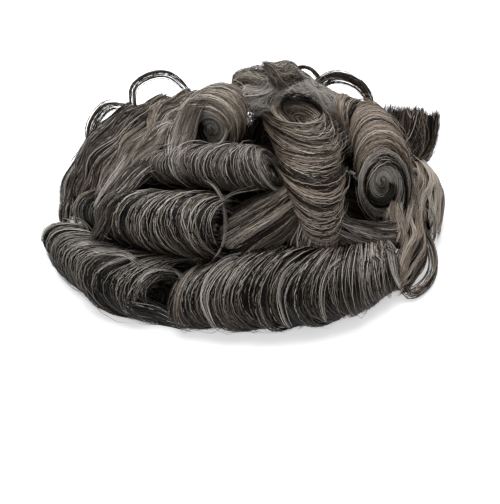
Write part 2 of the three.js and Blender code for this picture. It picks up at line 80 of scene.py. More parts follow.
# Sizes of the hair in mm. A drawn ribbon stands for a few real hairs that cling together, and
# the cores lie under the ribbons. A roll is several smaller curls side by side.
FIBRE_WIDTH = 0.46
CORE_DEPTH = 2.2
CURL_SPACING = 31
WAVE_LENGTH = 30
TABLE_CLEARANCE = 0.25

# How near to a roll's ends, in mm, its lip draws in, its combing fades and extra hair lies
LIP_REACH = 8
COMB_REACH = 16
END_REACH = 9

# How a roll's fibres are shared out: round its body, near each end, in each open end, and from
# the roots over into it
BODY_SHARE = 0.74
END_SHARE = 0.1
EYE_SHARE = 0.15
BRIDGE_SHARE = 0.1

# The share of a strand over which it stands proud of its roll
PROUD_UNTIL = 0.85

# Sweeps are let down on to the solids from this far above them, then pulled taut
LAY_FROM = 12
TAUT_ROUNDS = 12

# How light hair is, from black at 0 to white at 1: its middle, the cores under it, and where
# grey begins. Hair is painted lighter where it faces up and darker where it faces down, as
# painted light from above and painted shade beneath, by so much more facing up than sideways.
HAIR_TONE = 0.42
# The cores are far darker than the hair over them, as painted shade of the hair deep inside
CORE_TONE = 0.1
GREY_FROM = 0.76
PAINTED_UPWARD_LIGHT = 0.18
FACES_UP = 0.85

# Rolls whose smaller curls stand further out than this get painted shade in the creases between
# them, and a painted highlight where each curl starts
PAINTED_CREASE_FROM = 1.1

# The columns of a row after its rise: one radius for a roll, two sizes for a lock
RADIUS = 0
WIDTH, THICKNESS = 0, 1

cap_low, cap_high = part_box("base_cap")
DOME_CENTRE = np.array([(cap_low.x + cap_high.x) / 2, (cap_low.y + cap_high.y) / 2, 0]) / MM
CAP_RADII = np.array([
    (cap_high.x - cap_low.x) / 2,
    (cap_high.y - cap_low.y) / 2,
    cap_high.z,
]) / MM
MAT_RADII = CAP_RADII + MAT_OVER_CAP

# How much lighter or darker a piece is than its neighbours: partly the hair's own colour, and
# partly painted light, with the pieces on top painted lighter and the front rolls darker
PIECE_TONE_AND_PAINTED_LIGHT = {
    "crown_mound": 0.62, "crown_tuft_right": 0.5, "crown_tuft_left": 0.5,
    "left_wave_upper": 0.42, "left_wave_lower": 0.16, "left_edge_lock": -0.06,
    "right_side_upper": 0.62, "right_side_lower": 0.54, "right_front_lock": 0.36,
    "right_end_loop": 0.28, "combed_fan": 0.38, "front_fan": 0.46, "spiral_band": 0.26,
    "front_roll_right": -0.33, "front_roll_left": -0.29, "middle_roll": -0.31,
    "upper_roll": 0.07, "spiral_column": 0.2, "crown_barrel": 0.24,
    "centre_column": -0.02, "brush_lock": -0.04, "loop_right": 0.3, "loop_left": 0.2,
    "loop_left_side": 0.3,
}

# The rolls whose open ends are greyer than the rest, and those whose open ends are painted
# lighter still, as painted light against the shade inside them
GREY_EYED = {"spiral_column", "crown_barrel"}
EYES_PAINTED_LIGHTER = {"spiral_column", "crown_barrel", "centre_column", "upper_roll", "front_roll_left"}

# The locks whose hair stands loose and curls every way
FRIZZY = {"crown_mound", "crown_tuft_right", "crown_tuft_left"}

# The locks that are cut off square
CUT_SQUARE = {"brush_lock"}

# The rolls whose hair rises from roots just behind them
BRIDGED = {
    "front_roll_right", "front_roll_left", "middle_roll", "upper_roll",
    "back_roll_left", "back_roll_right", "back_wave_left", "back_wave_right",
}

# Rolled curls: where the axis lies, and how the hair winds round it.
# A row is x, y, z, rise, radius: a direction from the dome's centre, with rise and radius as
# shares of CURL_RADIUS. start and sweep are in degrees, wisp and curl_lift in mm, and wall,
# flare, bow, slant, combs and funnel are shares of the radius.
Roll = namedtuple("Roll", """name slot on_table turn start sweep wall flare bow slant
    comb_front comb_side scroll wisp curl_lift funnel fibres rows""")
ROLLS = [
    Roll("front_roll_right", "brown_hair", True, 1, -155, 415, 0.36, 0.4, -0.45, 0.1,
        -0.35, 0.35, 0.8, 6, 2.8, 0.6, 2700, [
        (-0.33, -0.95, 0, 1.04, 0.82),
        (-0.06, -1.0, 0, 0.9, 0.96),
        (0.22, -0.98, 0, 0.9, 1.06),
        (0.46, -0.89, 0, 1.06, 0.97),
        (0.68, -0.74, 0, 1.06, 0.84),
        (0.86, -0.52, 0, 1.14, 0.7),
    ]),
    Roll("front_roll_left", "grey_hair", True, 1, -155, 415, 0.36, 0.5, -0.65, 0.1,
        -0.25, 0.7, 0.8, 6, 3.0, 0.5, 1900, [
        (-0.98, -0.2, 0, 1.3, 0.56),
        (-0.89, -0.45, 0, 1.22, 0.7),
        (-0.7, -0.71, 0, 1.28, 0.84),
        (-0.48, -0.88, 0, 1.16, 0.88),
    ]),
    Roll("middle_roll", "brown_hair", False, 1, -155, 415, 0.36, 0.4, -0.75, 0.1,
        -0.15, -0.15, 0.8, 6, 1.2, 0.34, 1800, [
        (-0.95, -0.1, 0.3, 0.58, 0.54),
        (-0.71, -0.46, 0.54, 0.7, 0.8),
        (-0.42, -0.65, 0.64, 0.78, 0.98),
        (-0.13, -0.72, 0.68, 0.78, 0.96),
    ]),
    Roll("upper_roll", "grey_hair", False, 1, -155, 415, 0.36, 0.3, -0.7, 0,
        -0.2, -0.5, 0.8, 5, 1.0, 0.22, 1500, [
        (-0.64, -0.04, 0.77, 0.5, 0.46),
        (-0.37, -0.19, 0.91, 0.6, 0.62),
        (-0.09, -0.28, 0.96, 0.67, 0.74),
        (0.17, -0.27, 0.94, 0.69, 0.72),
    ]),
    Roll("crown_barrel", "warm_hair", False, 1, -130, 440, 0.32, 0.5, 0.3, 0,
        -0.2, 0, 0.8, 5, 0.8, 0.45, 1500, [
        (-0.22, 0.07, 0.97, 0.97, 0.88),
        (-0.18, 0.21, 0.96, 1.0, 0.94),
        (-0.12, 0.46, 0.88, 1.0, 0.78),
    ]),
    Roll("centre_column", "warm_hair", False, -1, -130, 415, 0.34, 0.2, 1.1, 0.3,
        0.2, 0.05, 0.8, 6, 1.05, 0.6, 1800, [
        (0.31, 0.25, 0.92, 1.34, 0.78),
        (0.4, 0.11, 0.91, 0.86, 0.9),
        (0.45, -0.18, 0.87, 0.62, 0.86),
        (0.49, -0.42, 0.77, 0.42, 0.74),
        (0.51, -0.57, 0.65, 0.3, 0.54),
    ]),
    Roll("spiral_column", "warm_hair", False, 1, -150, 460, 0.3, 0.5, -0.8, -0.6,
        0.1, 0, 0.8, 5, 1.4, 0.35, 1700, [
        (0.58, 0.55, 0.6, 1.22, 0.54),
        (0.72, 0.44, 0.54, 1.18, 0.72),
        (0.79, 0.14, 0.59, 1.05, 0.82),
        (0.83, -0.12, 0.54, 0.95, 0.88),
    ]),
    Roll("back_roll_left", "brown_hair", True, -1, -155, 415, 0.36, 0.7, -0.3, 0,
        -0.3, 0, 0.9, 8, 1.6, 0.6, 640, [
        (-0.95, 0.31, 0, 0.8, 0.7),
        (-0.72, 0.7, 0, 0.85, 0.84),
        (-0.38, 0.93, 0, 0.85, 0.88),
        (-0.03, 1.0, 0, 0.85, 0.82),
    ]),
    Roll("back_roll_right", "brown_hair", True, -1, -155, 415, 0.36, 0.7, 0.3, 0,
        0.3, 0, 0.9, 8, 1.6, 0.6, 640, [
        (0.1, 1.0, 0, 0.85, 0.78),
        (0.42, 0.9, 0, 0.85, 0.86),
        (0.72, 0.7, 0, 0.85, 0.84),
        (0.95, 0.3, 0, 0.9, 0.7),
    ]),
    Roll("back_wave_left", "grey_hair", False, -1, -155, 415, 0.36, 0.4, -0.3, 0,
        -0.3, 0, 0.9, 8, 1.0, 0.6, 430, [
        (-0.72, 0.42, 0.56, 0.66, 0.7),
        (-0.42, 0.66, 0.62, 0.74, 0.86),
        (-0.06, 0.76, 0.64, 0.74, 0.82),
    ]),
    Roll("back_wave_right", "grey_hair", False, -1, -155, 415, 0.36, 0.4, 0.3, 0,
        0.3, 0, 0.9, 8, 1.0, 0.6, 430, [
        (0.1, 0.77, 0.63, 0.74, 0.8),
        (0.42, 0.68, 0.6, 0.74, 0.84),
        (0.74, 0.48, 0.47, 0.7, 0.72),
    ]),
]

# Combed locks, loops and tufts: the fibres run along the rows.
# A row is x, y, z, rise, width, thickness: a direction, the rise as a share of CURL_RADIUS, and
# the sizes as shares of LOCK_WIDTH and LOCK_THICKNESS. twist is in degrees and ripple in mm, and
# wave is how often a wisp swings from side to side.
Lock = namedtuple("Lock", "name slot twist fibres core wave ripple rows")
LOCKS = [
    Lock("left_wave_upper", "brown_hair", 0, 1150, True, 1.2, 2.6, [
        (-0.3, 0.62, 0.73, 1.2, 1.0, 1.8),
        (-0.49, 0.45, 0.74, 0.96, 1.3, 2.2),
        (-0.67, 0.12, 0.73, 0.82, 1.4, 2.0),
        (-0.84, -0.02, 0.54, 0.62, 1.3, 1.6),
    ]),
    Lock("left_wave_lower", "brown_hair", 0, 1200, True, 1.2, 2.6, [
        (-0.46, 0.6, 0.65, 1.3, 1.1, 1.8),
        (-0.64, 0.42, 0.64, 1.1, 1.4, 2.2),
        (-0.84, 0.18, 0.51, 1.0, 1.5, 2.2),
        (-0.95, 0.0, 0.32, 0.86, 1.4, 1.8),
    ]),
    Lock("left_edge_lock", "grey_hair", 0, 850, True, 1.2, 2.0, [
        (-0.62, 0.56, 0.55, 1.56, 0.9, 1.4),
        (-0.77, 0.45, 0.45, 1.4, 1.2, 1.8),
        (-0.91, 0.3, 0.28, 1.24, 1.3, 1.8),
        (-0.98, 0.12, 0.16, 1.16, 1.1, 1.6),
        (-1.0, -0.01, 0.09, 1.14, 0.8, 1.2),
    ]),
    Lock("combed_fan", "brown_hair", 0, 1000, True, 0.6, 0, [
        (0.42, -0.32, 0.85, 0.3, 1.0, 1.4),
        (0.17, -0.63, 0.75, 0.32, 1.7, 1.4),
        (-0.1, -0.8, 0.59, 0.38, 1.8, 1.4),
        (-0.31, -0.86, 0.4, 0.38, 1.6, 1.4),
    ]),
    Lock("front_fan", "brown_hair", 0, 1000, True, 0.6, 0, [
        (0.5, -0.42, 0.76, 0.3, 1.2, 1.4),
        (0.54, -0.66, 0.52, 0.36, 2.4, 1.4),
        (0.53, -0.79, 0.3, 0.36, 2.8, 1.4),
    ]),
    Lock("spiral_band", "grey_hair", 0, 520, True, 0.6, 0, [
        (0.5, -0.56, 0.66, 0.5, 0.8, 1.2),
        (0.67, -0.55, 0.5, 0.52, 0.9, 1.2),
        (0.87, -0.4, 0.3, 0.64, 1.0, 1.3),
        (0.98, -0.11, 0.18, 0.78, 1.0, 1.3),
    ]),
    Lock("right_side_upper", "warm_hair", 0, 800, True, 1.0, 1.8, [
        (0.9, 0.34, 0.27, 1.28, 1.3, 1.8),
        (0.95, 0.2, 0.24, 1.44, 1.7, 2.0),
        (0.98, 0.06, 0.17, 1.38, 1.8, 2.0),
        (0.98, -0.13, 0.12, 1.29, 1.5, 1.8),
    ]),
    Lock("right_side_lower", "warm_hair", 0, 750, True, 1.0, 1.8, [
        (0.9, 0.15, 0.44, 0.7, 1.2, 1.8),
        (0.95, 0.0, 0.31, 0.74, 1.5, 1.9),
        (0.96, -0.18, 0.22, 0.74, 1.5, 1.8),
        (0.92, -0.36, 0.15, 0.78, 1.3, 1.6),
    ]),
    Lock("right_front_lock", "warm_hair", 0, 450, True, 1.0, 1.2, [
        (0.98, -0.06, 0.2, 1.0, 1.0, 1.6),
        (0.94, -0.3, 0.14, 1.2, 1.2, 1.6),
        (0.85, -0.51, 0.1, 1.5, 1.0, 1.3),
        (0.79, -0.6, 0.08, 1.6, 0.6, 1.0),
    ]),
    Lock("right_end_loop", "warm_hair", 0, 70, False, 0.4, 0, [
        (0.98, -0.08, 0.2, 1.1, 0.5, 0.6),
        (0.97, -0.22, 0.07, 1.52, 0.6, 0.6),
        (0.94, -0.34, 0.04, 1.8, 0.6, 0.6),
        (0.88, -0.47, 0.04, 1.96, 0.5, 0.6),
        (0.83, -0.56, 0.05, 1.9, 0.5, 0.6),
        (0.82, -0.56, 0.08, 1.5, 0.5, 0.6),
    ]),
    Lock("brush_lock", "warm_hair", 90, 1250, True, 0.3, 0, [
        (0.85, 0.25, 0.45, 0.6, 1.2, 1.0),
        (0.88, 0.29, 0.36, 1.1, 1.4, 1.1),
        (0.86, 0.34, 0.37, 1.66, 1.7, 1.1),
        (0.83, 0.39, 0.41, 2.15, 1.8, 1.0),
        (0.8, 0.42, 0.43, 2.52, 1.8, 0.9),
    ]),
    Lock("crown_mound", "grey_hair", 0, 900, True, 1.2, 2.0, [
        (0.0, 0.56, 0.82, 1.0, 1.6, 2.4),
        (0.21, 0.6, 0.77, 1.3, 1.7, 2.4),
        (0.4, 0.6, 0.69, 1.36, 1.5, 2.2),
        (0.54, 0.56, 0.62, 1.2, 1.2, 1.8),
    ]),
    Lock("crown_tuft_right", "brown_hair", 90, 420, True, 0.6, 1.2, [
        (0.37, 0.62, 0.69, 1.6, 0.7, 1.0),
        (0.25, 0.52, 0.81, 1.84, 0.9, 1.0),
        (0.17, 0.45, 0.88, 2.06, 0.7, 0.8),
        (0.09, 0.38, 0.92, 2.4, 0.14, 0.24),
    ]),
    Lock("crown_tuft_left", "brown_hair", 90, 380, True, 0.6, 1.2, [
        (0.17, 0.64, 0.75, 1.6, 0.7, 1.0),
        (0.07, 0.58, 0.81, 1.76, 0.8, 1.0),
        (-0.03, 0.62, 0.78, 1.64, 0.5, 0.8),
        (-0.07, 0.66, 0.75, 1.4, 0.3, 0.4),
    ]),
    Lock("loop_right", "brown_hair", 90, 80, False, 0.3, 0, [
        (0.36, 0.62, 0.69, 1.5, 0.4, 0.5),
        (0.44, 0.62, 0.65, 2.06, 0.44, 0.5),
        (0.51, 0.6, 0.62, 2.24, 0.44, 0.5),
        (0.59, 0.56, 0.58, 2.22, 0.42, 0.5),
        (0.65, 0.53, 0.54, 2.0, 0.36, 0.5),
        (0.67, 0.5, 0.55, 1.66, 0.3, 0.5),
    ]),
    Lock("loop_left", "brown_hair", 90, 44, False, 0.3, 0, [
        (-0.62, 0.52, 0.58, 1.6, 0.26, 0.3),
        (-0.58, 0.57, 0.59, 2.12, 0.26, 0.3),
        (-0.49, 0.61, 0.62, 2.24, 0.26, 0.3),
        (-0.41, 0.64, 0.65, 2.12, 0.24, 0.3),
        (-0.35, 0.65, 0.67, 1.74, 0.22, 0.3),
        (-0.31, 0.63, 0.71, 1.3, 0.2, 0.3),
    ]),
    Lock("loop_left_side", "grey_hair", 90, 60, False, 0.5, 0, [
        (-0.86, 0.36, 0.38, 1.3, 0.3, 0.3),
        (-0.82, 0.41, 0.42, 1.8, 0.4, 0.3),
        (-0.76, 0.46, 0.47, 2.02, 0.4, 0.3),
        (-0.7, 0.5, 0.51, 2.04, 0.4, 0.3),
        (-0.63, 0.52, 0.57, 1.7, 0.3, 0.3),
    ]),
    Lock("loop_top", "brown_hair", 90, 26, False, 0.3, 0, [
        (0.23, 0.64, 0.73, 1.9, 0.22, 0.3),
        (0.3, 0.66, 0.68, 2.14, 0.22, 0.3),
        (0.36, 0.65, 0.67, 2.1, 0.22, 0.3),
        (0.42, 0.63, 0.65, 1.84, 0.22, 0.3),
    ]),
]


# Hair that sweeps from one curl over into the next, and stray grey hairs.
# A row is x, y, z, rise, as for the curls. width and lift are in mm, and grey is the share of
# grey hairs.
Sweep = namedtuple("Sweep", "name slot width lift fibres grey shade rows")
SWEEPS = [
    Sweep("barrel_sweep", "grey_hair", 17, 0.8, 340, 0.14, 0.2, [
        (0.02, 0.3, 0.95, 1.5),
        (-0.07, 0.28, 0.96, 1.69),
        (-0.16, 0.26, 0.95, 1.84),
        (-0.26, 0.2, 0.94, 1.78),
        (-0.34, 0.12, 0.93, 1.44),
        (-0.39, 0.0, 0.92, 1.14),
        (-0.41, -0.14, 0.9, 1.17),
        (-0.41, -0.26, 0.87, 1.04),
        (-0.38, -0.33, 0.86, 0.72),
    ]),
    Sweep("barrel_eye_rim", "grey_hair", 5, 1.0, 34, 0.7, 0.3, [
        (-0.38, -0.04, 0.92, 1.05),
        (-0.38, 0.1, 0.92, 1.0),
        (-0.34, 0.19, 0.92, 1.1),
        (-0.27, 0.14, 0.95, 1.46),
        (-0.2, 0.11, 0.97, 1.56),
        (-0.14, 0.07, 0.98, 1.42),
        (-0.11, 0.03, 0.99, 1.11),
        (-0.15, -0.04, 0.99, 0.9),
        (-0.21, -0.1, 0.97, 1.0),
    ]),
    Sweep("left_sweep", "brown_hair", 19, 0.8, 200, 0.12, 0.04, [
        (-0.57, -0.1, 0.81, 0.99),
        (-0.66, -0.2, 0.72, 1.05),
        (-0.72, -0.3, 0.63, 1.14),
        (-0.75, -0.4, 0.53, 1.44),
        (-0.79, -0.44, 0.43, 1.28),
        (-0.85, -0.43, 0.3, 0.8),
    ]),
    Sweep("left_strays", "grey_hair", 12, 1.2, 46, 0.9, 0, [
        (-0.39, 0.27, 0.88, 1.15),
        (-0.49, 0.24, 0.83, 1.05),
        (-0.58, 0.11, 0.81, 1.05),
        (-0.67, 0.03, 0.74, 1.0),
        (-0.76, -0.06, 0.65, 1.0),
        (-0.82, -0.2, 0.53, 1.2),
        (-0.84, -0.28, 0.44, 1.28),
    ]),
    Sweep("crown_flip", "grey_hair", 3, 1.6, 30, 0.9, 0, [
        (0.03, 0.44, 0.9, 0.94),
        (0.1, 0.44, 0.89, 1.11),
        (0.16, 0.46, 0.88, 1.25),
        (0.18, 0.49, 0.85, 1.39),
        (0.13, 0.49, 0.86, 1.49),
        (0.08, 0.48, 0.87, 1.45),
    ]),
    Sweep("middle_strays", "grey_hair", 4, 1.6, 6, 1, 0, [
        (-0.27, -0.36, 0.89, 0.99),
        (-0.2, -0.43, 0.88, 0.9),
        (-0.14, -0.54, 0.83, 0.91),
        (-0.12, -0.63, 0.76, 0.78),
        (-0.12, -0.73, 0.67, 0.7),
        (-0.14, -0.81, 0.56, 0.89),
        (-0.21, -0.87, 0.46, 0.8),
    ]),
    Sweep("crossing_strays", "grey_hair", 3, 1.6, 3, 1, 0, [
        (0.11, -0.43, 0.89, 0.68),
        (0.02, -0.45, 0.89, 0.6),
        (-0.07, -0.48, 0.87, 0.7),
        (-0.14, -0.55, 0.83, 0.9),
        (-0.22, -0.63, 0.74, 1.23),
    ]),
    Sweep("front_strays_left", "grey_hair", 6, 2.4, 9, 0.9, 0.1, [
        (-0.01, -0.86, 0.51, 0.9),
        (-0.1, -0.87, 0.48, 0.96),
        (-0.18, -0.9, 0.4, 1.42),
        (-0.21, -0.93, 0.3, 1.79),
        (-0.18, -0.97, 0.19, 1.89),
        (-0.13, -0.99, 0.05, 1.51),
    ]),
    Sweep("front_strays_middle", "grey_hair", 6, 2.4, 9, 0.9, 0.1, [
        (0.31, -0.83, 0.46, 1.37),
        (0.22, -0.89, 0.41, 1.64),
        (0.18, -0.93, 0.31, 1.89),
        (0.2, -0.96, 0.19, 1.91),
        (0.25, -0.97, 0.06, 1.6),
    ]),
    Sweep("front_strays_right", "grey_hair", 6, 2.4, 9, 0.9, 0.1, [
        (0.57, -0.71, 0.41, 1.24),
        (0.46, -0.8, 0.39, 1.59),
        (0.4, -0.86, 0.33, 1.88),
        (0.39, -0.9, 0.21, 2.01),
        (0.43, -0.9, 0.06, 1.8),
    ]),
    Sweep("left_edge_strays", "grey_hair", 4, 1.6, 12, 0.9, 0.1, [
        (-0.99, -0.02, 0.12, 1.24),
        (-0.95, -0.19, 0.26, 0.95),
        (-0.87, -0.39, 0.3, 0.94),
        (-0.76, -0.56, 0.33, 1.38),
    ]),
    Sweep("left_front_strays", "grey_hair", 4, 2.4, 12, 0.9, 0.1, [
        (-0.81, -0.51, 0.3, 1.6),
        (-0.74, -0.58, 0.34, 1.32),
        (-0.65, -0.66, 0.38, 1.27),
        (-0.58, -0.72, 0.37, 1.43),
    ]),
    Sweep("left_eye_strays", "grey_hair", 4, 2.0, 12, 0.8, 0.1, [
        (-0.54, -0.79, 0.28, 1.95),
        (-0.52, -0.78, 0.34, 1.7),
        (-0.47, -0.8, 0.38, 1.45),
        (-0.41, -0.83, 0.37, 1.1),
        (-0.33, -0.88, 0.35, 1.48),
    ]),
    Sweep("right_side_strays", "grey_hair", 6, 1.6, 14, 0.9, 0.1, [
        (0.96, -0.04, 0.28, 1.3),
        (0.97, -0.1, 0.24, 1.49),
        (0.98, -0.14, 0.16, 1.53),
        (0.97, -0.21, 0.11, 1.52),
    ]),
    Sweep("right_front_strays", "grey_hair", 7, 2.0, 16, 0.9, 0.1, [
        (0.78, -0.54, 0.31, 1.35),
        (0.77, -0.59, 0.27, 1.62),
        (0.76, -0.62, 0.2, 1.77),
        (0.79, -0.6, 0.09, 1.73),
    ]),
    Sweep("front_joining_hair", "grey_hair", 17, 0.8, 170, 0.14, -0.1, [
        (-0.6, -0.78, 0.16, 1.9),
        (-0.53, -0.84, 0.1, 1.66),
        (-0.44, -0.89, 0.06, 1.5),
        (-0.35, -0.93, 0.05, 1.5),
        (-0.26, -0.96, 0.05, 1.56),
    ]),
]


# Seats on the root hair, and the lines along curls and locks


def unit(vectors):
    return vectors / np.linalg.norm(vectors, axis=-1, keepdims=True)


def across_from(vectors, directions):
    """The part of each vector that is square to its direction, at unit length."""
    along = np.sum(vectors * directions, axis=-1, keepdims=True)
    return unit(vectors - along * directions)


def seat_on_mat(row, radius_share, on_table):
    """A point over the root hair, and the outward direction there."""
    direction = unit(np.array(row[:3], float))
    surface = direction * MAT_RADII
    outward = unit(direction / MAT_RADII)
    point = surface + outward * row[3] * CURL_RADIUS
    if on_table:
        point[2] = REST_HEIGHT * radius_share * CURL_RADIUS
    point[2] = max(point[2], LOCK_THICKNESS / 4)
    return point + DOME_CENTRE, outward


def smooth_curve(points, places):
    """A centripetal Catmull-Rom curve through points, read at places from 0 to 1."""
    points = np.asarray(points, float)
    padded = np.vstack([2 * points[0] - points[1], points, 2 * points[-1] - points[-2]])
    position = np.clip(places, 0, 1) * (len(points) - 1)
    segment = np.minimum(position.astype(int), len(points) - 2)
    step = (position - segment)[:, None]
    p0, p1, p2, p3 = (padded[segment + k] for k in range(4))

    def knot(a, b):
        return np.sqrt(np.linalg.norm(b - a, axis=1, keepdims=True))

    d0, d1, d2 = knot(p0, p1), knot(p1, p2), knot(p2, p3)
    start = ((p1 - p0) / d0 - (p2 - p0) / (d0 + d1) + (p2 - p1) / d1) * d1
    end = ((p2 - p1) / d1 - (p3 - p1) / (d1 + d2) + (p3 - p2) / d2) * d1
    cubic = 2 * p1 - 2 * p2 + start + end
    square = -3 * p1 + 3 * p2 - 2 * start - end
    return p1 + start * step + square * step**2 + cubic * step**3


def even_places(count, steps):
    """Places from 0 to 1 along each of count fibres."""
    return np.linspace(0, 1, steps)[None, :] * np.ones((count, 1))


class Spine:
    """The line that a curl or lock follows, with its frame and sizes, read anywhere."""

    samples = 241

    def __init__(self, rows, on_table=False):
        seats = [seat_on_mat(row, row[4], on_table) for row in rows]
        places = np.linspace(0, 1, self.samples)
        self.centres = smooth_curve([seat[0] for seat in seats], places)
        self.tangents = unit(np.gradient(self.centres, axis=0))
        outward = smooth_curve([seat[1] for seat in seats], places)
        self.outwards = across_from(outward, self.tangents)
        self.sides = np.cross(self.tangents, self.outwards)
        steps = np.linalg.norm(np.diff(self.centres, axis=0), axis=1)
        self.length = steps.sum()
        self.columns = np.array([row[4:] for row in rows], float)

    def read(self, places):
        """Centre, tangent, outward and side at places, which may run past the ends."""
        shape = places.shape
        flat = places.ravel()
        held = np.clip(flat, 0, 1) * (self.samples - 1)
        index = np.minimum(held.astype(int), self.samples - 2)
        step = (held - index)[:, None]

        def blend(values):
            return values[index] * (1 - step) + values[index + 1] * step

        tangent = unit(blend(self.tangents))
        overrun = (flat - np.clip(flat, 0, 1))[:, None] * self.length
        centre = blend(self.centres) + overrun * tangent
        parts = centre, tangent, unit(blend(self.outwards)), unit(blend(self.sides))
        return [part.reshape(*shape, 3) for part in parts]

    def share(self, column, places):
        """A column of the rows, eased between them."""
        values = self.columns[:, column]
        position = np.clip(places, 0, 1) * (len(values) - 1)
        index = np.minimum(position.astype(int), len(values) - 2)
        step = position - index
        return values[index] * (1 - step) + values[index + 1] * step


# Meshes


def lengths_along(centres):
    """How far each point lies from its fibre's start, in mm."""
    gaps = np.linalg.norm(np.diff(centres, axis=1), axis=2)
    return np.concatenate([np.zeros((len(centres), 1)), np.cumsum(gaps, axis=1)], axis=1)


def unwrap_corners(u_low, u_high, v_low, v_high):
    """The four corners of each face in the unwrap."""
    u_low, u_high, v_low, v_high = np.broadcast_arrays(u_low, u_high, v_low, v_high)
    return np.stack([
        np.stack([u_low, v_low], -1),
        np.stack([u_high, v_low], -1),
        np.stack([u_high, v_high], -1),
        np.stack([u_low, v_high], -1),
    ], axis=-2)


def quad_mesh(verts, quads, quad_uv, tone, across, along):
    """The parts of a mesh of four-sided faces."""
    return {
        "verts": verts.reshape(-1, 3),
        "quads": quads.reshape(-1, 4),
        "quad_uv": quad_uv.reshape(-1, 4, 2),
        "tris": np.zeros((0, 3), int),
        "tri_uv": np.zeros((0, 3, 2)),
        "tone": tone,
        "across": across,
        "along": along,
    }


def fibre_mesh(centres, outward, radius, tone):
    """Three-sided tapering fibres. centres and outward are fibre by step by 3, in mm."""
    fibres, steps = centres.shape[:2]
    tangent = unit(np.gradient(centres, axis=1))
    up = across_from(outward, tangent)
    side = np.cross(tangent, up)
    turns = np.radians([90, 210, 330])
    ring = (
        side[:, :, None, :] * np.cos(turns)[None, None, :, None]
        + up[:, :, None, :] * np.sin(turns)[None, None, :, None]
    )
    verts = centres[:, :, None, :] + ring * radius[:, :, None, None]
    base = (np.arange(fibres)[:, None] * steps + np.arange(steps - 1)[None, :]) * 3
    corner = np.arange(3)
    following = (corner + 1) % 3
    quads = np.stack([
        base[:, :, None] + corner,
        base[:, :, None] + following,
        base[:, :, None] + 3 + following,
        base[:, :, None] + 3 + corner,
    ], axis=-1)
    first = np.arange(fibres) * steps * 3
    last = first + (steps - 1) * 3
    caps = np.concatenate([
        np.stack([first + 2, first + 1, first], axis=-1),
        np.stack([last, last + 1, last + 2], axis=-1),
    ])
    # Each fibre has its own strip of the unwrap
    strip = (np.arange(fibres) + 0.1) / fibres
    width = 0.8 / fibres
    levels = np.linspace(0.01, 0.99, steps)
    u_low = strip[:, None, None] + width * corner / 3
    u_high = u_low + width / 3
    quad_uv = unwrap_corners(u_low, u_high, levels[None, :-1, None], levels[None, 1:, None])
    cap_uv = np.zeros((2 * fibres, 3, 2))
    cap_uv[:, :, 0] = np.concatenate([strip, strip])[:, None] + np.array([0, 1, 0.5]) * width
    cap_uv[:fibres, :, 1] = levels[0] + np.array([0, 0, 0.002])
    cap_uv[fibres:, :, 1] = levels[-1] + np.array([0, 0, 0.002])
    across = np.repeat(RNG.uniform(0, 900, fibres), steps * 3)
    along = np.repeat(lengths_along(centres).ravel(), 3)
    mesh = quad_mesh(verts, quads, quad_uv, np.repeat(tone, steps * 3), across, along)
    mesh["tris"] = caps
    mesh["tri_uv"] = cap_uv
    return mesh


def strip_unwrap(count, levels, tone):
    """A place in the unwrap for each fibre: its left edge, width, and levels up the strip."""
    blocks = 6
    per_block = -(-count // blocks)
    order = np.empty(count, int)
    order[np.argsort(tone)] = np.arange(count)
    column = order % per_block
    block = order // per_block
    left = (column + 0.1) / per_block
    width = 0.8 / per_block
    height = (block[:, None] + 0.03 + 0.94 * levels[None, :]) / blocks
    return left, width, height


def ribbon_mesh(centres, outward, half_width, tone, lean):
    """Flat ribbons of hair. centres and outward are fibre by step by 3, in mm."""
    fibres, steps = centres.shape[:2]
    tone = np.broadcast_to(tone.T, (steps, fibres)).T
    tangent = unit(np.gradient(centres, axis=1))
    up = across_from(outward, tangent)
    side = np.cross(tangent, up)
    lean = lean[:, None, None]
    width = (np.cos(lean) * side + np.sin(lean) * up) * half_width[..., None]
    verts = np.stack([centres - width, centres + width], axis=2)
    base = (np.arange(fibres)[:, None] * steps + np.arange(steps - 1)[None, :]) * 2
    quads = np.stack([base, base + 1, base + 3, base + 2], axis=-1)
    left, strip, height = strip_unwrap(fibres, np.linspace(0, 1, steps), tone[:, 0])
    left = left[:, None]
    quad_uv = unwrap_corners(left, left + strip, height[:, :-1], height[:, 1:])
    both_edges = np.array([0, FIBRE_WIDTH]) * np.ones((1, steps, 1))
    across = (RNG.uniform(0, 900, (fibres, 1, 1)) + both_edges).ravel()
    along = np.repeat(lengths_along(centres).ravel(), 2)
    return quad_mesh(verts, quads, quad_uv, np.repeat(tone.ravel(), 2), across, along)


def sheet_mesh(grid, across, along, tone):
    """A grid of points as a surface, with its last column joined to its first."""
    rows, columns = grid.shape[:2]
    row = np.arange(rows - 1)[:, None]
    column = np.arange(columns)[None, :]
    after = (column + 1) % columns
    quads = np.stack([
        row * columns + column,
        row * columns + after,
        (row + 1) * columns + after,
        (row + 1) * columns + column,
    ], axis=-1)
    quad_uv = unwrap_corners(
        column / columns, (column + 1) / columns, row / (rows - 1), (row + 1) / (rows - 1),
    )
    across = np.broadcast_to(across, (rows, columns)).ravel()
    along = np.broadcast_to(along, (rows, columns)).ravel()
    return quad_mesh(grid, quads, quad_uv, np.full(rows * columns, tone), across, along)


def into_patch(mesh, low, high):
    """The mesh with its unwrap moved into one patch of the whole."""
    low, high = np.array(low), np.array(high)
    for key in ("quad_uv", "tri_uv"):
        mesh[key] = low + mesh[key] * (high - low)
    return mesh


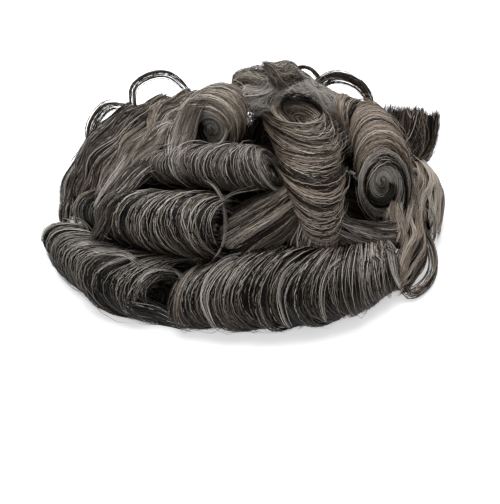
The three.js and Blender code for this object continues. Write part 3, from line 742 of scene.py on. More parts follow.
def make_piece(name, meshes, material):
    """One Blender object from several meshes, riding on the hairpiece in place of its node."""
    offsets = np.cumsum([0] + [len(mesh["verts"]) for mesh in meshes])
    verts = np.concatenate([mesh["verts"] for mesh in meshes]) * MM
    quads = np.concatenate([mesh["quads"] + start for mesh, start in zip(meshes, offsets)])
    tris = np.concatenate([mesh["tris"] + start for mesh, start in zip(meshes, offsets)])
    corners = np.concatenate([quads.ravel(), tris.ravel()])
    data = bpy.data.meshes.new(name)
    data.vertices.add(len(verts))
    data.vertices.foreach_set("co", verts.ravel())
    data.loops.add(len(corners))
    data.loops.foreach_set("vertex_index", corners)
    data.polygons.add(len(quads) + len(tris))
    starts = np.concatenate([
        np.arange(len(quads)) * 4,
        len(quads) * 4 + np.arange(len(tris)) * 3,
    ])
    data.polygons.foreach_set("loop_start", starts)
    data.polygons.foreach_set("use_smooth", np.ones(len(starts), bool))
    unwrap = data.uv_layers.new(name="OFBake")
    corner_uv = np.concatenate(
        [mesh["quad_uv"].reshape(-1, 2) for mesh in meshes]
        + [mesh["tri_uv"].reshape(-1, 2) for mesh in meshes]
    )
    unwrap.data.foreach_set("uv", corner_uv.ravel())
    for label in ("tone", "across", "along"):
        values = np.concatenate([mesh[label] for mesh in meshes])
        attribute = data.attributes.new(label, "FLOAT", "POINT")
        attribute.data.foreach_set("value", values)
    data.materials.append(material)
    data.update(calc_edges=True)
    piece = bpy.data.objects.new(name, data)
    bpy.context.scene.collection.objects.link(piece)
    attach(piece, "root")
    return piece


# Hair on the curls and locks


def fibre_tones(count, grey_share, shade):
    """How light each fibre is: dark to mid brown, with some that have gone grey."""
    tone = RNG.normal(HAIR_TONE, 0.09, count)
    # One in seven is much darker
    tone[RNG.random(count) < 0.14] -= 0.22
    tone = np.clip(tone + shade, 0.02, 0.9)
    grey = RNG.random(count) < grey_share
    tone[grey] = RNG.uniform(GREY_FROM, 1.0, grey.sum())
    return tone


def bell(strand, last):
    """Nought at the root and at the last place, and one midway."""
    return np.sin(math.pi * np.clip(strand / last, 0, 1))


def hair_width(tone):
    """Half widths of the ribbons. Grey hairs lie singly, so they are finer."""
    width = FIBRE_WIDTH * RNG.uniform(0.6, 1.25, len(tone))
    width[tone > GREY_FROM] *= 0.62
    return width[:, None] / 2


def thinned(places, half_width):
    """Fibre half widths that thin out over the tip."""
    return half_width * (0.3 + 0.7 * np.clip((1 - places) / 0.1, 0, 1))


def wound_in(roll, strand):
    """How far the hair has wound in towards the axis, as a share of the radius."""
    turns = strand * roll.sweep / 360
    return (roll.wall + PITCH_SHARE) * np.where(turns < 1, turns**WIND_POWER, turns)


def flared_out(roll, strand):
    """How far the hair stands out where it comes to the roll, as a share of the radius."""
    return roll.flare * np.clip(1 - strand / FLARE_REACH, 0, 1) ** 2


def lip(spine, along):
    """The rolled ends draw in a little, as a share of the radius."""
    from_end = np.minimum(along, 1 - along) * spine.length
    return 0.16 * np.clip(1 - from_end / LIP_REACH, 0, 1) ** 2


def wound_angle(roll, strand):
    """The way round the axis from straight outward, in radians."""
    return np.radians(roll.turn * (roll.start + strand * roll.sweep))


def combed(roll, spine, along, strand):
    """Where the comb has carried a fibre along the axis, fading towards the ends."""
    from_end = np.minimum(along, 1 - along) * spine.length
    room = np.clip(from_end / COMB_REACH, 0, 1)
    room = room * room * (3 - 2 * room)
    angle = wound_angle(roll, strand)
    share = roll.comb_front * np.cos(angle) + roll.comb_side * np.sin(angle)
    return along + share * room * spine.share(RADIUS, along) * CURL_RADIUS / spine.length


def wound_ways(roll, angle, tangent, outward, side):
    """Square out from the axis at an angle, and the same way leaned along the axis."""
    angle = angle[..., None]
    radial = np.cos(angle) * outward + np.sin(angle) * side
    shift = roll.bow * np.cos(angle) + roll.slant * np.sin(angle)
    return radial, radial + shift * tangent


def point_round(roll, spine, along, strand, depth):
    """Points of a roll by place on its axis, place on the strand, and depth in mm."""
    centre, tangent, outward, side = spine.read(along)
    radius = spine.share(RADIUS, along) * CURL_RADIUS
    share = 1 - wound_in(roll, strand) + flared_out(roll, strand) - lip(spine, along)
    reach = np.maximum(radius * share - depth, 0.5)[..., None]
    radial, leaned = wound_ways(roll, wound_angle(roll, strand), tangent, outward, side)
    return centre + reach * leaned, radial


def above_table(points):
    """Hair that would reach below the table lies on it."""
    points[..., 2] = np.maximum(points[..., 2], TABLE_CLEARANCE)
    return points


def part_into_wisps(length, width):
    """Uneven wisps side by side: their middles and half widths in mm."""
    widths = width * RNG.uniform(0.5, 1.6, max(3, round(length / width)))
    widths *= length / widths.sum()
    edges = np.concatenate([[0], np.cumsum(widths)])
    return (edges[1:] + edges[:-1]) / 2, widths / 2


def part_into_curls(length):
    """Where each smaller curl of a roll starts, in mm from its first end."""
    widths = CURL_SPACING * RNG.uniform(0.7, 1.3, max(1, round(length / CURL_SPACING)))
    widths *= length / widths.sum()
    return np.concatenate([[0], np.cumsum(widths)])


def curl_step(roll, curls, place):
    """How proud of the roll a curl lies: each one starts over the end of the one before."""
    number = np.clip(np.searchsorted(curls, place, side="right") - 1, 0, len(curls) - 2)
    share = np.clip((place - curls[number]) / (curls[number + 1] - curls[number]), 0, 1)
    return number, share, roll.curl_lift * (0.7 - 1.7 * share**0.8)


def roll_fibres(roll, spine, wisps, curls, count, ends, steps, near=None):
    """Ribbons of hair wound round a roll. near keeps to the last mm of one end."""
    middles, halves = wisps
    length = spine.length
    start_at = RNG.uniform(0, length, count)
    if near is not None:
        end, reach = near
        start_at = end * length + (1 - 2 * end) * RNG.uniform(0, reach, count)
    wisp = np.abs(start_at[:, None] - middles[None, :]) / halves[None, :]
    wisp = wisp.argmin(axis=1)
    local = ((start_at - middles[wisp]) / halves[wisp])[:, None]
    kinds = len(middles)
    drift = RNG.normal(0, 1.6, kinds)[wisp][:, None]
    phase = RNG.uniform(0, 2 * math.pi, kinds)[wisp][:, None]
    swell = RNG.uniform(-0.6, 0.6, kinds)[wisp][:, None]
    shade = RNG.normal(0, 0.07, kinds)[wisp]
    loose = (RNG.random((count, 1)) < 0.04).astype(float)
    depth = RNG.uniform(0, 1, (count, 1)) ** 1.5 * 1.3
    places = even_places(count, steps)
    strand = places * ends[:, None]
    curl, share, step_up = curl_step(roll, curls, start_at)
    swing = RNG.normal(0, 2.0, len(curls))[curl][:, None]
    crossing = RNG.normal(0, 0.09, (2, count, 1))
    middle_bell = bell(strand, PROUD_UNTIL)
    spread = 0.7 + 0.6 * middle_bell
    own = RNG.normal(0, 0.5, (count, 1)) * np.sin(
        2 * math.pi * strand * 1.2 + RNG.uniform(0, 2 * math.pi, (count, 1))
    )
    across = (
        middles[wisp][:, None]
        + local * halves[wisp][:, None] * spread
        + drift * np.sin(2 * math.pi * strand * 0.8 + phase)
        + swing * np.sin(2 * math.pi * strand)
        + own
        + loose * middle_bell * RNG.normal(0, 3.0, (count, 1))
    )
    angle = wound_angle(roll, strand)
    radius = spine.share(RADIUS, across / length) * CURL_RADIUS
    astray = crossing[0] * np.cos(angle) + crossing[1] * np.sin(angle)
    across = across + astray * radius * middle_bell
    along = combed(roll, spine, across / length, strand)
    # Each wisp stands proud of the next along one edge
    lift = middle_bell * (
        roll.scroll * (0.2 - 0.8 * local)
        + step_up[:, None]
        + swell
        + loose * np.minimum(RNG.exponential(1.4, (count, 1)), 5)
    )
    # Painted shade: fibres that lie deeper are darker
    shade = shade + PIECE_TONE_AND_PAINTED_LIGHT.get(roll.name, 0) - 0.05 * depth[:, 0]
    # Painted highlight where each curl starts, and painted shade where it dives under the next
    if roll.curl_lift > PAINTED_CREASE_FROM:
        shade = shade + 0.12 * (1 - share) - 0.5 * share**3
    tone = fibre_tones(count, 0.1, shade)
    # Painted highlight: some fibres along each proud edge and each curl's start are made light
    painted_highlight = ((local[:, 0] < -0.7) | (share < 0.08)) & (RNG.random(count) < 0.12)
    tone[painted_highlight] = np.maximum(tone[painted_highlight], RNG.uniform(0.6, 0.95, painted_highlight.sum()))
    tone[loose[:, 0] > 0] = RNG.uniform(0.7, 1.0, int(loose.sum()))
    # Grey hairs lie over the brown ones
    depth[tone > 0.66] *= 0.1
    centres, radial = point_round(roll, spine, along, strand, depth - lift)
    centres = above_table(centres)
    half_width = thinned(places, hair_width(tone))
    lean = RNG.normal(0, 0.45, count)
    # Painted light and shade: hair that faces up is painted lighter, and what lies beneath darker
    tone = tone[:, None] + PAINTED_UPWARD_LIGHT * (radial[..., 2] - FACES_UP)
    return ribbon_mesh(centres, radial, half_width, tone, lean)


def roll_core(roll, spine, curls):
    """The inner body of a roll, a little under its ribbons, finished as hair too."""
    columns = max(14, int(spine.length / 2.6))
    rows = 26
    along = np.linspace(0.015, 0.985, columns)[None, :] * np.ones((rows, 1))
    strand = even_places(columns, rows).T
    # The core's ends are sunk, so that the hair of the open ends covers them
    end_radii = spine.share(RADIUS, np.array([0.0, 1.0])) * CURL_RADIUS
    sunk = (roll.wall * end_radii * roll.funnel + 2.5) / spine.length
    inner_along = np.linspace(sunk[0], 1 - sunk[1], columns)[None, :] * np.ones((rows, 1))
    combed_along = combed(roll, spine, along, strand)
    wall = roll.wall * spine.share(RADIUS, along) * CURL_RADIUS
    ridges_at = np.arange(0, spine.length + 2.5, 2.5)
    ridge = np.interp(along[0] * spine.length, ridges_at, RNG.uniform(-0.5, 0.5, len(ridges_at)))
    _, _, step_up = curl_step(roll, curls, along * spine.length)
    depth = CORE_DEPTH + ridge - step_up * bell(strand, PROUD_UNTIL)
    outer, _ = point_round(roll, spine, combed_along, strand, depth)
    inner, _ = point_round(roll, spine, inner_along, strand, wall)
    loop = above_table(np.concatenate([outer, inner[:, ::-1]], axis=1))
    place = np.concatenate([along, along[:, ::-1]], axis=1) * spine.length
    way = np.linspace(0, 1, rows)[:, None] * 2 * math.pi * CURL_RADIUS
    # The core takes the dark core tone, painted shade of the hair deep inside the roll
    return sheet_mesh(loop, place, way, CORE_TONE)


def eye_fibres(roll, spine, end, count):
    """The open end of a roll: hair that winds inwards and falls away into the eye."""
    steps = 14
    radius = spine.share(RADIUS, np.array([float(end)]))[0] * CURL_RADIUS
    inwards = 1 - 2 * end
    ring = 1 - RNG.uniform(0, 1, (count, 1)) ** 0.8 * 0.8
    turned = RNG.uniform(0, 1, (count, 1))
    places = even_places(count, steps)
    strand = turned + places * RNG.uniform(0.4, 0.8, (count, 1))
    share = ring - 0.12 * places - 0.02
    fall = (1 - share) * radius * roll.funnel + RNG.uniform(-0.6, 0.8, (count, 1))
    along = end + inwards * fall / spine.length
    centre, tangent, outward, side = spine.read(np.clip(along, 0, 1))
    radial, leaned = wound_ways(roll, wound_angle(roll, strand), tangent, outward, side)
    rim = (radius * (share - 0.08))[..., None]
    centres = above_table(centre + rim * leaned)
    facing = unit(radial * 0.5 - inwards * tangent)
    # Painted light in the open end, more for the listed rolls, and painted shade towards its
    # middle
    eye_painted_light = 0.24 if roll.name in EYES_PAINTED_LIGHTER else 0.04
    shade = PIECE_TONE_AND_PAINTED_LIGHT.get(roll.name, 0) + 0.16 + eye_painted_light - 0.16 * (1 - ring[:, 0])
    tone = fibre_tones(count, 0.26, shade + RNG.normal(0, 0.17, count))
    half_width = 0.75 * thinned(places, hair_width(tone))
    return ribbon_mesh(centres, facing, half_width, tone, RNG.normal(0, 0.4, count))


def bridge_fibres(roll, spine, count):
    """Hair that rises from its roots behind a roll and goes over into it."""
    steps = 10
    start = RNG.uniform(0.04, 0.96, (count, 1))
    places = even_places(count, steps)
    drift = RNG.normal(-0.25 * roll.comb_front, 0.25, (count, 1)) * CURL_RADIUS / spine.length
    along = np.clip(start + drift * (places - 0.5), 0.01, 0.99)
    centre, tangent, outward, side = spine.read(along)
    radius = (spine.share(RADIUS, along) * CURL_RADIUS)[..., None]

    def round_roll(degrees, reach):
        angle = math.radians(-roll.turn * degrees)
        return centre + radius * reach * (math.cos(angle) * outward + math.sin(angle) * side)

    behind = round_roll(RNG.uniform(115, 135, (1, 1))[0, 0], 1.5) - DOME_CENTRE
    on_mat = behind / np.linalg.norm(behind / MAT_RADII, axis=-1, keepdims=True)
    root = on_mat * 1.01 + DOME_CENTRE
    over = round_roll(118, 1.2)
    onto = round_roll(70, 1.0)
    share = places[..., None]
    centres = (1 - share) ** 2 * root + 2 * share * (1 - share) * over + share**2 * onto
    centres = centres - outward * RNG.uniform(0, 1.5, (count, 1, 1))
    tone = fibre_tones(count, 0.08, PIECE_TONE_AND_PAINTED_LIGHT.get(roll.name, 0) - 0.04)
    half_width = thinned(places, hair_width(tone))
    return ribbon_mesh(above_table(centres), outward, half_width, tone, RNG.normal(0, 0.4, count))


def build_roll(roll, material):
    """A roll's core, the hair wound round it, and the hair in its open ends."""
    spine = Spine(roll.rows, roll.on_table)
    wisps = part_into_wisps(spine.length, roll.wisp)
    curls = part_into_curls(spine.length)
    body = int(roll.fibres * BODY_SHARE)
    at_ends = int(roll.fibres * END_SHARE)
    in_eye = int(roll.fibres * EYE_SHARE)
    meshes = [
        roll_core(roll, spine, curls),
        roll_fibres(roll, spine, wisps, curls, body, RNG.uniform(0.6, 0.72, body), 14),
    ]
    for end in (0, 1):
        last = RNG.uniform(0.9, 1.0, at_ends)
        meshes.append(roll_fibres(roll, spine, wisps, curls, at_ends, last, 20, (end, END_REACH)))
        eye = eye_fibres(roll, spine, end, in_eye)
        if roll.name in GREY_EYED:
            side = ("first", "last")[end]
            make_piece(f"{roll.name}_{side}_eye", [eye], HAIR["grey_hair"])
        else:
            meshes.append(eye)
    if roll.name in BRIDGED:
        meshes.append(bridge_fibres(roll, spine, int(roll.fibres * BRIDGE_SHARE)))
    patches = [
        ((0, 0), (1, 0.3)),
        ((0, 0.31), (1, 0.7)),
        ((0, 0.71), (0.24, 0.88)),
        ((0.25, 0.71), (0.49, 0.88)),
        ((0.5, 0.71), (0.74, 0.88)),
        ((0.75, 0.71), (1, 0.88)),
        ((0, 0.89), (1, 1)),
    ]
    for mesh, patch in zip(meshes, patches):
        into_patch(mesh, *patch)
    piece = make_piece(roll.name + "_hair", meshes, material)
    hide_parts(roll.name)
    return piece


def lock_points(lock, spine, along, angle, fill):
    """Points of a lock by place along it, way round its oval, and how far out they lie."""
    centre, tangent, outward, side = spine.read(along)
    half_width = spine.share(WIDTH, along) * LOCK_WIDTH / 2
    half_thick = spine.share(THICKNESS, along) * LOCK_THICKNESS / 2
    twist = math.radians(lock.twist)
    across = math.cos(twist) * side + math.sin(twist) * np.cross(tangent, side)
    up = math.cos(twist) * outward + math.sin(twist) * np.cross(tangent, outward)
    # Set waves run slantwise over the lock
    wave = 2 * math.pi * along * spine.length / WAVE_LENGTH + 1.2 * np.cos(angle)
    swell = (lock.ripple * bell(along, 1) ** 0.5)[..., None]
    wave = wave[..., None]
    centre = centre + swell * (np.sin(wave) * across + 0.6 * np.cos(wave) * up)
    out_across = (fill * half_width * np.cos(angle))[..., None] * across
    out_up = (fill * half_thick * np.sin(angle))[..., None] * up
    return centre + out_across + out_up, unit(out_across + out_up + 1e-6 * up)


def ways_round(shares, wide, thick):
    """Angles round an oval for shares of the way along its edge."""
    angle = np.linspace(0, 2 * math.pi, 361)
    reach = np.cumsum(np.hypot(wide * np.sin(angle), thick * np.cos(angle)))
    reach = (reach - reach[0]) / (reach[-1] - reach[0])
    return np.interp(shares, reach, angle)


def lock_fibres(lock, spine, count):
    """Ribbons of hair along a lock, in wisps that part and close again."""
    steps = max(10, int(spine.length / 5))
    kinds = 26 if lock.core else 4
    width = spine.columns[:, WIDTH].max() * LOCK_WIDTH * 1.5
    wide = spine.columns[:, WIDTH].mean() * LOCK_WIDTH
    thick = spine.columns[:, THICKNESS].mean() * LOCK_THICKNESS
    wisp_at = (np.arange(kinds) + RNG.uniform(0.1, 0.9, kinds)) / kinds
    wisp_at = ways_round(wisp_at, wide, thick)
    angles = ways_round(RNG.uniform(0, 1, count), wide, thick)
    # More of the hair lies on top than underneath
    under = (angles > math.pi) & (RNG.random(count) < 0.45) & (lock.twist == 0)
    angles[under] = 2 * math.pi - angles[under]
    gap = (angles[:, None] - wisp_at[None, :] + math.pi) % (2 * math.pi) - math.pi
    wisp = np.abs(gap).argmin(axis=1)
    local = gap[np.arange(count), wisp][:, None]
    drift = RNG.normal(0, 2.2 / width, kinds)[wisp][:, None] * 2 * math.pi
    phase = RNG.uniform(0, 2 * math.pi, kinds)[wisp][:, None]
    swell = RNG.uniform(-0.1, 0.1, kinds)[wisp][:, None]
    shade = RNG.normal(0, 0.16, kinds)[wisp]
    frizz = 1 if lock.name in FRIZZY else 0
    loose = (RNG.random((count, 1)) < 0.05 + 0.25 * frizz).astype(float)
    places = even_places(count, steps)
    start = RNG.uniform(-0.02, 0.05, (count, 1))
    feather = 0.0 if lock.name in CUT_SQUARE else 0.3
    end = 1 + RNG.normal(0, 0.03, (count, 1)) - feather * RNG.uniform(0, 1, (count, 1)) ** 2
    along = start + places * (end - start)
    spread = 0.75 + 0.45 * bell(along, 1)
    own = RNG.normal(0, 0.02 + 0.05 * frizz, (count, 1)) * np.sin(
        2 * math.pi * along * (1.3 + 2 * frizz) + RNG.uniform(0, 2 * math.pi, (count, 1))
    )
    angle = (
        wisp_at[wisp][:, None]
        + local * spread
        + drift * np.sin(2 * math.pi * along * lock.wave + phase)
        + own * 4
        + loose * RNG.normal(0, 0.15, (count, 1)) * bell(along, 1)
    )
    layer = RNG.uniform(0, 1, (count, 1)) ** 1.5
    fill = 1.04 - 0.2 * layer
    if not lock.core:
        fill = np.sqrt(RNG.uniform(0.02, 1.0, (count, 1)))
    fill = fill + (0.1 - 0.16 * np.sign(np.cos(angle)) * local) * bell(along, 1) + swell
    fill = fill + 0.05 * np.sin(2 * math.pi * along * lock.wave * 0.8 + phase)
    fill = fill + loose * RNG.uniform(0, 0.25, (count, 1)) * bell(along, 1)
    centres, radial = lock_points(lock, spine, along, angle, fill)
    centres = above_table(centres)
    # Painted shade: fibres that lie deeper in the lock are darker
    tone = fibre_tones(count, 0.16, shade - 0.2 * layer[:, 0] + PIECE_TONE_AND_PAINTED_LIGHT.get(lock.name, 0))
    half_width = thinned(places, hair_width(tone))
    if not lock.core:
        return fibre_mesh(centres, radial, half_width, tone)
    return ribbon_mesh(centres, radial, half_width, tone, RNG.normal(0, 0.45, count))


def lock_core(lock, spine):
    """The inner body of a lock, closed towards its ends."""
    rows = max(16, int(spine.length / 3))
    sides = 32
    along = np.linspace(0.03, 0.94, rows)[:, None] * np.ones((1, sides))
    angle = np.linspace(0, 2 * math.pi, sides, endpoint=False)[None, :] * np.ones((rows, 1))
    close = 0.08 if lock.name in CUT_SQUARE else 0.3
    ends = np.clip(np.minimum(along / 0.08, (1 - along) / close), 0.0, 1) ** 0.5
    ridge = RNG.uniform(-0.05, 0.05, sides)[None, :]
    grid, _ = lock_points(lock, spine, along, angle, (0.78 + ridge) * ends + 0.02)
    way = along * spine.length
    # The core takes the dark core tone, painted shade of the hair deep inside the lock
    return sheet_mesh(above_table(grid), angle * LOCK_WIDTH / 2, way, CORE_TONE)


def build_lock(lock, material):
    """A lock's hair over its core. A loop is hair alone."""
    spine = Spine(lock.rows)
    meshes = [lock_fibres(lock, spine, lock.fibres)]
    if lock.core:
        meshes.append(lock_core(lock, spine))
        into_patch(meshes[0], (0, 0), (1, 0.68))
        into_patch(meshes[1], (0, 0.7), (1, 1))
    piece = make_piece(lock.name + "_hair", meshes, material)
    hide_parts(lock.name)
    return piece


def solid_tree():
    """The faces of every solid of the part as one search tree, in mm."""
    verts, faces = [], []
    for solid in bpy.data.objects:
        if solid.type != "MESH":
            continue
        first = len(verts)
        verts.extend(solid.matrix_world @ vert.co / MM for vert in solid.data.vertices)
        faces.extend(tuple(first + k for k in face.vertices) for face in solid.data.polygons)
    return BVHTree.FromPolygons(verts, faces)


def laid_on_solids(points, outward, lift):
    """Fibres let down until they lie on the solids, drawn taut over the hollows."""
    height = np.zeros(points.shape[:2])
    for place in np.ndindex(height.shape):
        start = points[place] + outward[place] * LAY_FROM
        found = SOLIDS.ray_cast(Vector(start), Vector(-outward[place]), 2 * LAY_FROM)
        if found[3] is not None:
            height[place] = LAY_FROM - found[3]
    for _ in range(TAUT_ROUNDS):
        taut = (height[:, :-2] + height[:, 2:]) / 2
        height[:, 1:-1] = np.maximum(height[:, 1:-1], taut)
    height[:, 1:-1] = (height[:, :-2] + 2 * height[:, 1:-1] + height[:, 2:]) / 4
    return points + outward * (height + lift)[..., None]


def build_sweep(sweep, material):
    """A thin band of hair, or a few stray hairs, lying over the curls."""
    spine = Spine([row + (1.0, 1.0) for row in sweep.rows])
    count = sweep.fibres
    steps = max(12, int(spine.length / 3.5))
    start = RNG.uniform(0.0, 0.12, (count, 1))
    end = 1 - RNG.uniform(0.0, 0.12, (count, 1))
    places = even_places(count, steps)
    along = start + places * (end - start)
    centre, tangent, outward, side = spine.read(along)
    phase = RNG.uniform(0, 2 * math.pi, (count, 1))
    across = RNG.normal(0, 0.5, (count, 1)) * (0.6 + 0.5 * np.sin(math.pi * along + phase * 0.2))
    across = np.clip(across, -1.3, 1.3) + 0.1 * np.sin(2 * math.pi * along * 1.4 + phase)
    points = centre + side * across[..., None] * sweep.width / 2
    lift = sweep.lift + RNG.uniform(-0.6, 0.4, (count, 1))
    centres = above_table(laid_on_solids(points, outward, lift))
    tone = fibre_tones(count, sweep.grey, sweep.shade)
    half_width = thinned(places, hair_width(tone))
    mesh = ribbon_mesh(centres, outward, half_width, tone, RNG.normal(0, 0.4, count))
    return make_piece(sweep.name, [mesh], material)


def dome_points(radii, azimuth, latitude, raised=0.0):
    """Points of a dome by azimuth and latitude, and the outward direction there."""
    direction = np.stack([
        np.cos(latitude) * np.cos(azimuth),
        np.cos(latitude) * np.sin(azimuth),
        np.sin(latitude),
    ], axis=-1)
    outward = unit(direction / radii)
    raised = np.broadcast_to(raised, azimuth.shape)[..., None]
    return direction * radii + outward * raised + DOME_CENTRE, outward


def build_root_hair(material):
    """The short root hair on the dome: a dark mat under fibres combed from the crown."""
    columns, rows = 72, 20
    azimuth = np.linspace(0, 2 * math.pi, columns, endpoint=False)[None, :] * np.ones((rows, 1))
    latitude = np.radians(np.linspace(3, 89.5, rows))[:, None] * np.ones((1, columns))
    mat, _ = dome_points(MAT_RADII - 0.6, azimuth, latitude)
    under, _ = dome_points(MAT_RADII - 2.8, azimuth, latitude)
    loop = np.concatenate([mat, under[::-1]], axis=0)
    across = np.concatenate([azimuth, azimuth[::-1]], axis=0) * MAT_RADII[0]
    way = np.concatenate([latitude, latitude[::-1]], axis=0) * MAT_RADII[2]
    # The mat takes the dark core tone, painted shade under the fibres
    core = sheet_mesh(loop, across, way, CORE_TONE)

    count, steps = 1500, 11
    lean = RNG.uniform(-0.25, 0.55, (count, 1))
    start_azimuth = RNG.uniform(0, 2 * math.pi, (count, 1))
    start_latitude = np.arcsin(RNG.uniform(0.15, 0.999, (count, 1)))
    places = even_places(count, steps)
    fibre_azimuth = start_azimuth + lean * places
    fibre_latitude = np.maximum(start_latitude - 0.6 * places, 0.05)
    raised = RNG.uniform(0.2, 1.6, (count, 1)) * np.sin(math.pi * (0.1 + 0.85 * places)) + 0.2
    centres, outward = dome_points(MAT_RADII, fibre_azimuth, fibre_latitude, raised)
    tone = fibre_tones(count, 0.06, 0)
    half_width = thinned(places, hair_width(tone))
    hair = ribbon_mesh(centres, outward, half_width, tone, RNG.normal(0, 0.3, count))
    into_patch(core, (0, 0), (1, 0.4))
    into_patch(hair, (0, 0.42), (1, 1))
    piece = make_piece("root_hair", [core, hair], material)
    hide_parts("hair_mat")
    return piece


def build_base(material):
    """The thin base: lace at the crown and a clear coated skin round the rim."""
    columns, rows = 96, 28
    azimuth = np.linspace(0, 2 * math.pi, columns, endpoint=False)[None, :] * np.ones((rows, 1))
    latitude = np.radians(np.linspace(0, 89.6, rows))[:, None] * np.ones((1, columns))
    outer, _ = dome_points(CAP_RADII, azimuth, latitude)
    inner, _ = dome_points(CAP_RADII - 1.6, azimuth, latitude)
    outer[0, :, 2] = 0.0
    inner[0, :, 2] = 0.0
    loop = np.concatenate([outer[::-1], inner], axis=0)
    across = np.concatenate([azimuth[::-1], azimuth], axis=0) * CAP_RADII[0]
    way = np.concatenate([latitude[::-1], latitude], axis=0) * CAP_RADII[2]
    shell = sheet_mesh(loop, across, way, CORE_TONE)
    piece = make_piece("base_shell", [shell], material)
    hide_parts("base_cap")
    return piece


# Materials


def linear(hex_code):
    """A linear colour from an sRGB hex code."""
    parts = [int(hex_code[k:k + 2], 16) / 255 for k in (1, 3, 5)]
    return [p / 12.92 if p <= 0.04045 else ((p + 0.055) / 1.055) ** 2.4 for p in parts] + [1]


def add_node(tree, kind, settings=None, inputs=None):
    """Adds a node, sets its settings, and sets or links its inputs."""
    node = tree.nodes.new(kind)
    for name, value in (settings or {}).items():
        setattr(node, name, value)
    for name, value in (inputs or {}).items():
        socket = node.inputs[name]
        if isinstance(value, bpy.types.NodeSocket):
            tree.links.new(value, socket)
        else:
            socket.default_value = value
    return node


def new_material(name):
    material = bpy.data.materials.new(name)
    material.use_nodes = True
    material.node_tree.nodes.clear()
    return material, material.node_tree


def finish_material(tree, colour, roughness, normal=None, ior=1.55, shine=0.5, glow=0.0):
    inputs = {
        "Emission Color": linear("#ffffff"),
        "Emission Strength": glow,
        "Base Color": colour,
        "Roughness": roughness,
        "IOR": ior,
        "Metallic": 0.0,
        "Specular IOR Level": shine,
    }
    if normal is not None:
        inputs["Normal"] = normal
    surface = add_node(tree, "ShaderNodeBsdfPrincipled", inputs=inputs)
    output = add_node(tree, "ShaderNodeOutputMaterial")
    tree.links.new(surface.outputs["BSDF"], output.inputs["Surface"])


def hair_material(name, colours):
    """Human hair, dyed and set: glossy, and each fibre its own shade from root to tip.
    Its tone carries painted light and shade as well.
    """
    material, tree = new_material(name)
    tone = add_node(tree, "ShaderNodeAttribute", {"attribute_name": "tone"})
    across = add_node(tree, "ShaderNodeAttribute", {"attribute_name": "across"})
    along = add_node(tree, "ShaderNodeAttribute", {"attribute_name": "along"})
    # Hairs 0.5 mm apart, drawn coarser than real ones so that they show, 40 mm long
    across_scaled = add_node(tree, "ShaderNodeMath", {"operation": "MULTIPLY"}, {
        0: across.outputs["Fac"], 1: 2.0,
    })
    along_scaled = add_node(tree, "ShaderNodeMath", {"operation": "MULTIPLY"}, {
        0: along.outputs["Fac"], 1: 0.025,
    })
    place = add_node(tree, "ShaderNodeCombineXYZ", inputs={
        "X": across_scaled.outputs[0], "Y": along_scaled.outputs[0],
    })
    streak = add_node(tree, "ShaderNodeTexNoise", {"noise_dimensions": "2D"}, {
        "Vector": place.outputs[0], "Scale": 1.0, "Detail": 1.0,
    })
    # Along its length each fibre turns up to a sixth lighter or darker
    change = add_node(tree, "ShaderNodeMath", {"operation": "MULTIPLY_ADD"}, {
        0: streak.outputs["Fac"], 1: 0.34, 2: -0.17,
    })
    shade = add_node(tree, "ShaderNodeMath", {"operation": "ADD", "use_clamp": True}, {
        0: tone.outputs["Fac"], 1: change.outputs[0],
    })
    ramp = add_node(tree, "ShaderNodeValToRGB", inputs={"Fac": shade.outputs[0]})
    elements = ramp.color_ramp.elements
    elements[0].position, elements[0].color = colours[0][0], linear(colours[0][1])
    elements[1].position, elements[1].color = colours[-1][0], linear(colours[-1][1])
    for position, code in colours[1:-1]:
        element = elements.new(position)
        element.color = linear(code)
    rough = add_node(tree, "ShaderNodeMapRange", inputs={
        "Value": streak.outputs["Fac"], "To Min": 0.28, "To Max": 0.46,
    })
    finish_material(tree, ramp.outputs["Color"], rough.outputs["Result"], shine=0.14)
    return material


def base_material():
    """Lace and thin coated skin: matt, skin coloured, with the knots in rows."""
    material, tree = new_material("lace_and_thin_skin")
    across = add_node(tree, "ShaderNodeAttribute", {"attribute_name": "across"})
    along = add_node(tree, "ShaderNodeAttribute", {"attribute_name": "along"})
    place = add_node(tree, "ShaderNodeCombineXYZ", inputs={
        "X": across.outputs["Fac"], "Y": along.outputs["Fac"],
    })
    # Knots every 2 mm
    knots = add_node(tree, "ShaderNodeTexVoronoi", {"voronoi_dimensions": "2D"}, {
        "Vector": place.outputs[0], "Scale": 0.5, "Randomness": 0.35,
    })
    ramp = add_node(tree, "ShaderNodeValToRGB", inputs={"Fac": knots.outputs["Distance"]})
    ramp.color_ramp.elements[0].position = 0.12
    ramp.color_ramp.elements[0].color = linear("#2a211b")
    ramp.color_ramp.elements[1].position = 0.3
    ramp.color_ramp.elements[1].color = linear("#8a6d58")
    bump = add_node(tree, "ShaderNodeBump", inputs={
        "Height": knots.outputs["Distance"], "Strength": 0.3, "Distance": 0.0003,
    })
    finish_material(tree, ramp.outputs["Color"], 0.62, bump.outputs["Normal"], 1.45)
    return material


BROWN_HAIR = hair_material("dark_brown_hair", [
    (0.0, "#060504"), (0.3, "#15110e"), (0.55, "#312a23"), (0.78, "#675b4e"), (1.0, "#d2cbc1"),
])
WARM_HAIR = hair_material("warm_brown_hair", [
    (0.0, "#0a0807"), (0.3, "#251f1a"), (0.55, "#564a3f"), (0.78, "#918172"), (1.0, "#d6cec3"),
])
GREY_HAIR = hair_material("greying_brown_hair", [
    (0.0, "#060605"), (0.3, "#1a1714"), (0.55, "#3f3933"), (0.78, "#7a7168"), (1.0, "#d3cec7"),
])
ROOT_HAIR = hair_material("root_hair", [
    (0.0, "#060504"), (0.3, "#14100d"), (0.55, "#28211b"), (0.78, "#463c32"), (1.0, "#8f877e"),
])
HAIR = {"brown_hair": BROWN_HAIR, "warm_hair": WARM_HAIR, "grey_hair": GREY_HAIR}

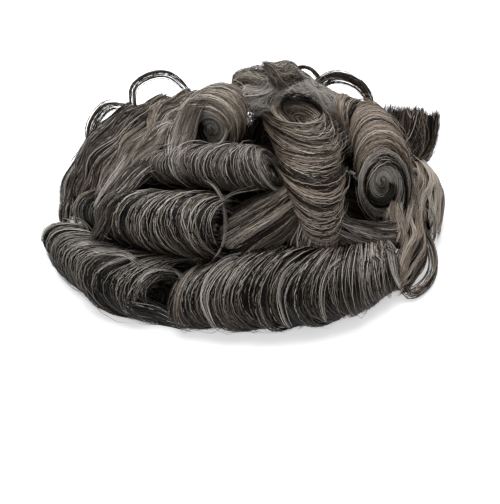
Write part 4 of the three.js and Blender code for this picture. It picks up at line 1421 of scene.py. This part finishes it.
SOLIDS = solid_tree()
for sweep in SWEEPS:
    build_sweep(sweep, HAIR[sweep.slot])
for roll in ROLLS:
    build_roll(roll, HAIR[roll.slot])
for lock in LOCKS:
    build_lock(lock, HAIR[lock.slot])
build_root_hair(ROOT_HAIR)
build_base(base_material())


# The table, the light and the camera


def pale_floor():
    mesh = bpy.data.meshes.new("pale_floor")
    reach = 4.0
    corners = [(-reach, -reach, 0), (reach, -reach, 0), (reach, reach, 0), (-reach, reach, 0)]
    mesh.from_pydata(corners, [], [(0, 1, 2, 3)])
    floor = bpy.data.objects.new("pale_floor", mesh)
    # A white table lit from below, so that shadows on it stay faint
    material, tree = new_material("white_light_table")
    finish_material(tree, linear("#f4f5f7"), 0.7, glow=0.5)
    mesh.materials.append(material)
    bpy.context.scene.collection.objects.link(floor)


def soft_light(name, place, size, power):
    """A round light aimed at the middle of the table. Sizes in metres, power in watts."""
    data = bpy.data.lights.new(name, "AREA")
    data.shape = "DISK"
    data.size = size
    data.energy = power
    light = bpy.data.objects.new(name, data)
    light.location = place
    direction = -np.array(place)
    turn = math.atan2(direction[0], -direction[1])
    tilt = math.atan2(math.hypot(direction[0], direction[1]), -direction[2])
    light.rotation_euler = (tilt, 0, math.pi + turn)
    bpy.context.scene.collection.objects.link(light)


def sky(strength):
    world = bpy.data.worlds.new("white_studio")
    world.use_nodes = True
    background = world.node_tree.nodes["Background"]
    background.inputs["Color"].default_value = linear("#ffffff")
    background.inputs["Strength"].default_value = strength
    bpy.context.scene.world = world


def photo_camera():
    """The photograph's view: 40 degrees above the front, 0.7 mm to a pixel."""
    elevation = math.radians(40)
    distance = 3.5
    aim = DOME_CENTRE * MM + np.array([3.5, -9.0, -10.7]) * MM
    place = aim + distance * np.array([0, -math.cos(elevation), math.sin(elevation)])
    data = bpy.data.cameras.new("photo_camera")
    data.sensor_fit = "HORIZONTAL"
    data.sensor_width = 36
    data.lens = 36 * distance / (500 * 0.7 * MM)
    data.clip_end = 20
    camera = bpy.data.objects.new("photo_camera", data)
    camera.location = place
    camera.rotation_euler = (math.pi / 2 - elevation, 0, 0)
    bpy.context.scene.collection.objects.link(camera)
    bpy.context.scene.camera = camera


bpy.context.scene.view_settings.view_transform = "Standard"
pale_floor()
sky(0.36)
soft_light("overhead_light", (-0.2, 0.45, 1.2), size=1.6, power=24)
soft_light("front_light", (-0.6, -1.2, 0.9), size=0.5, power=3)
photo_camera()
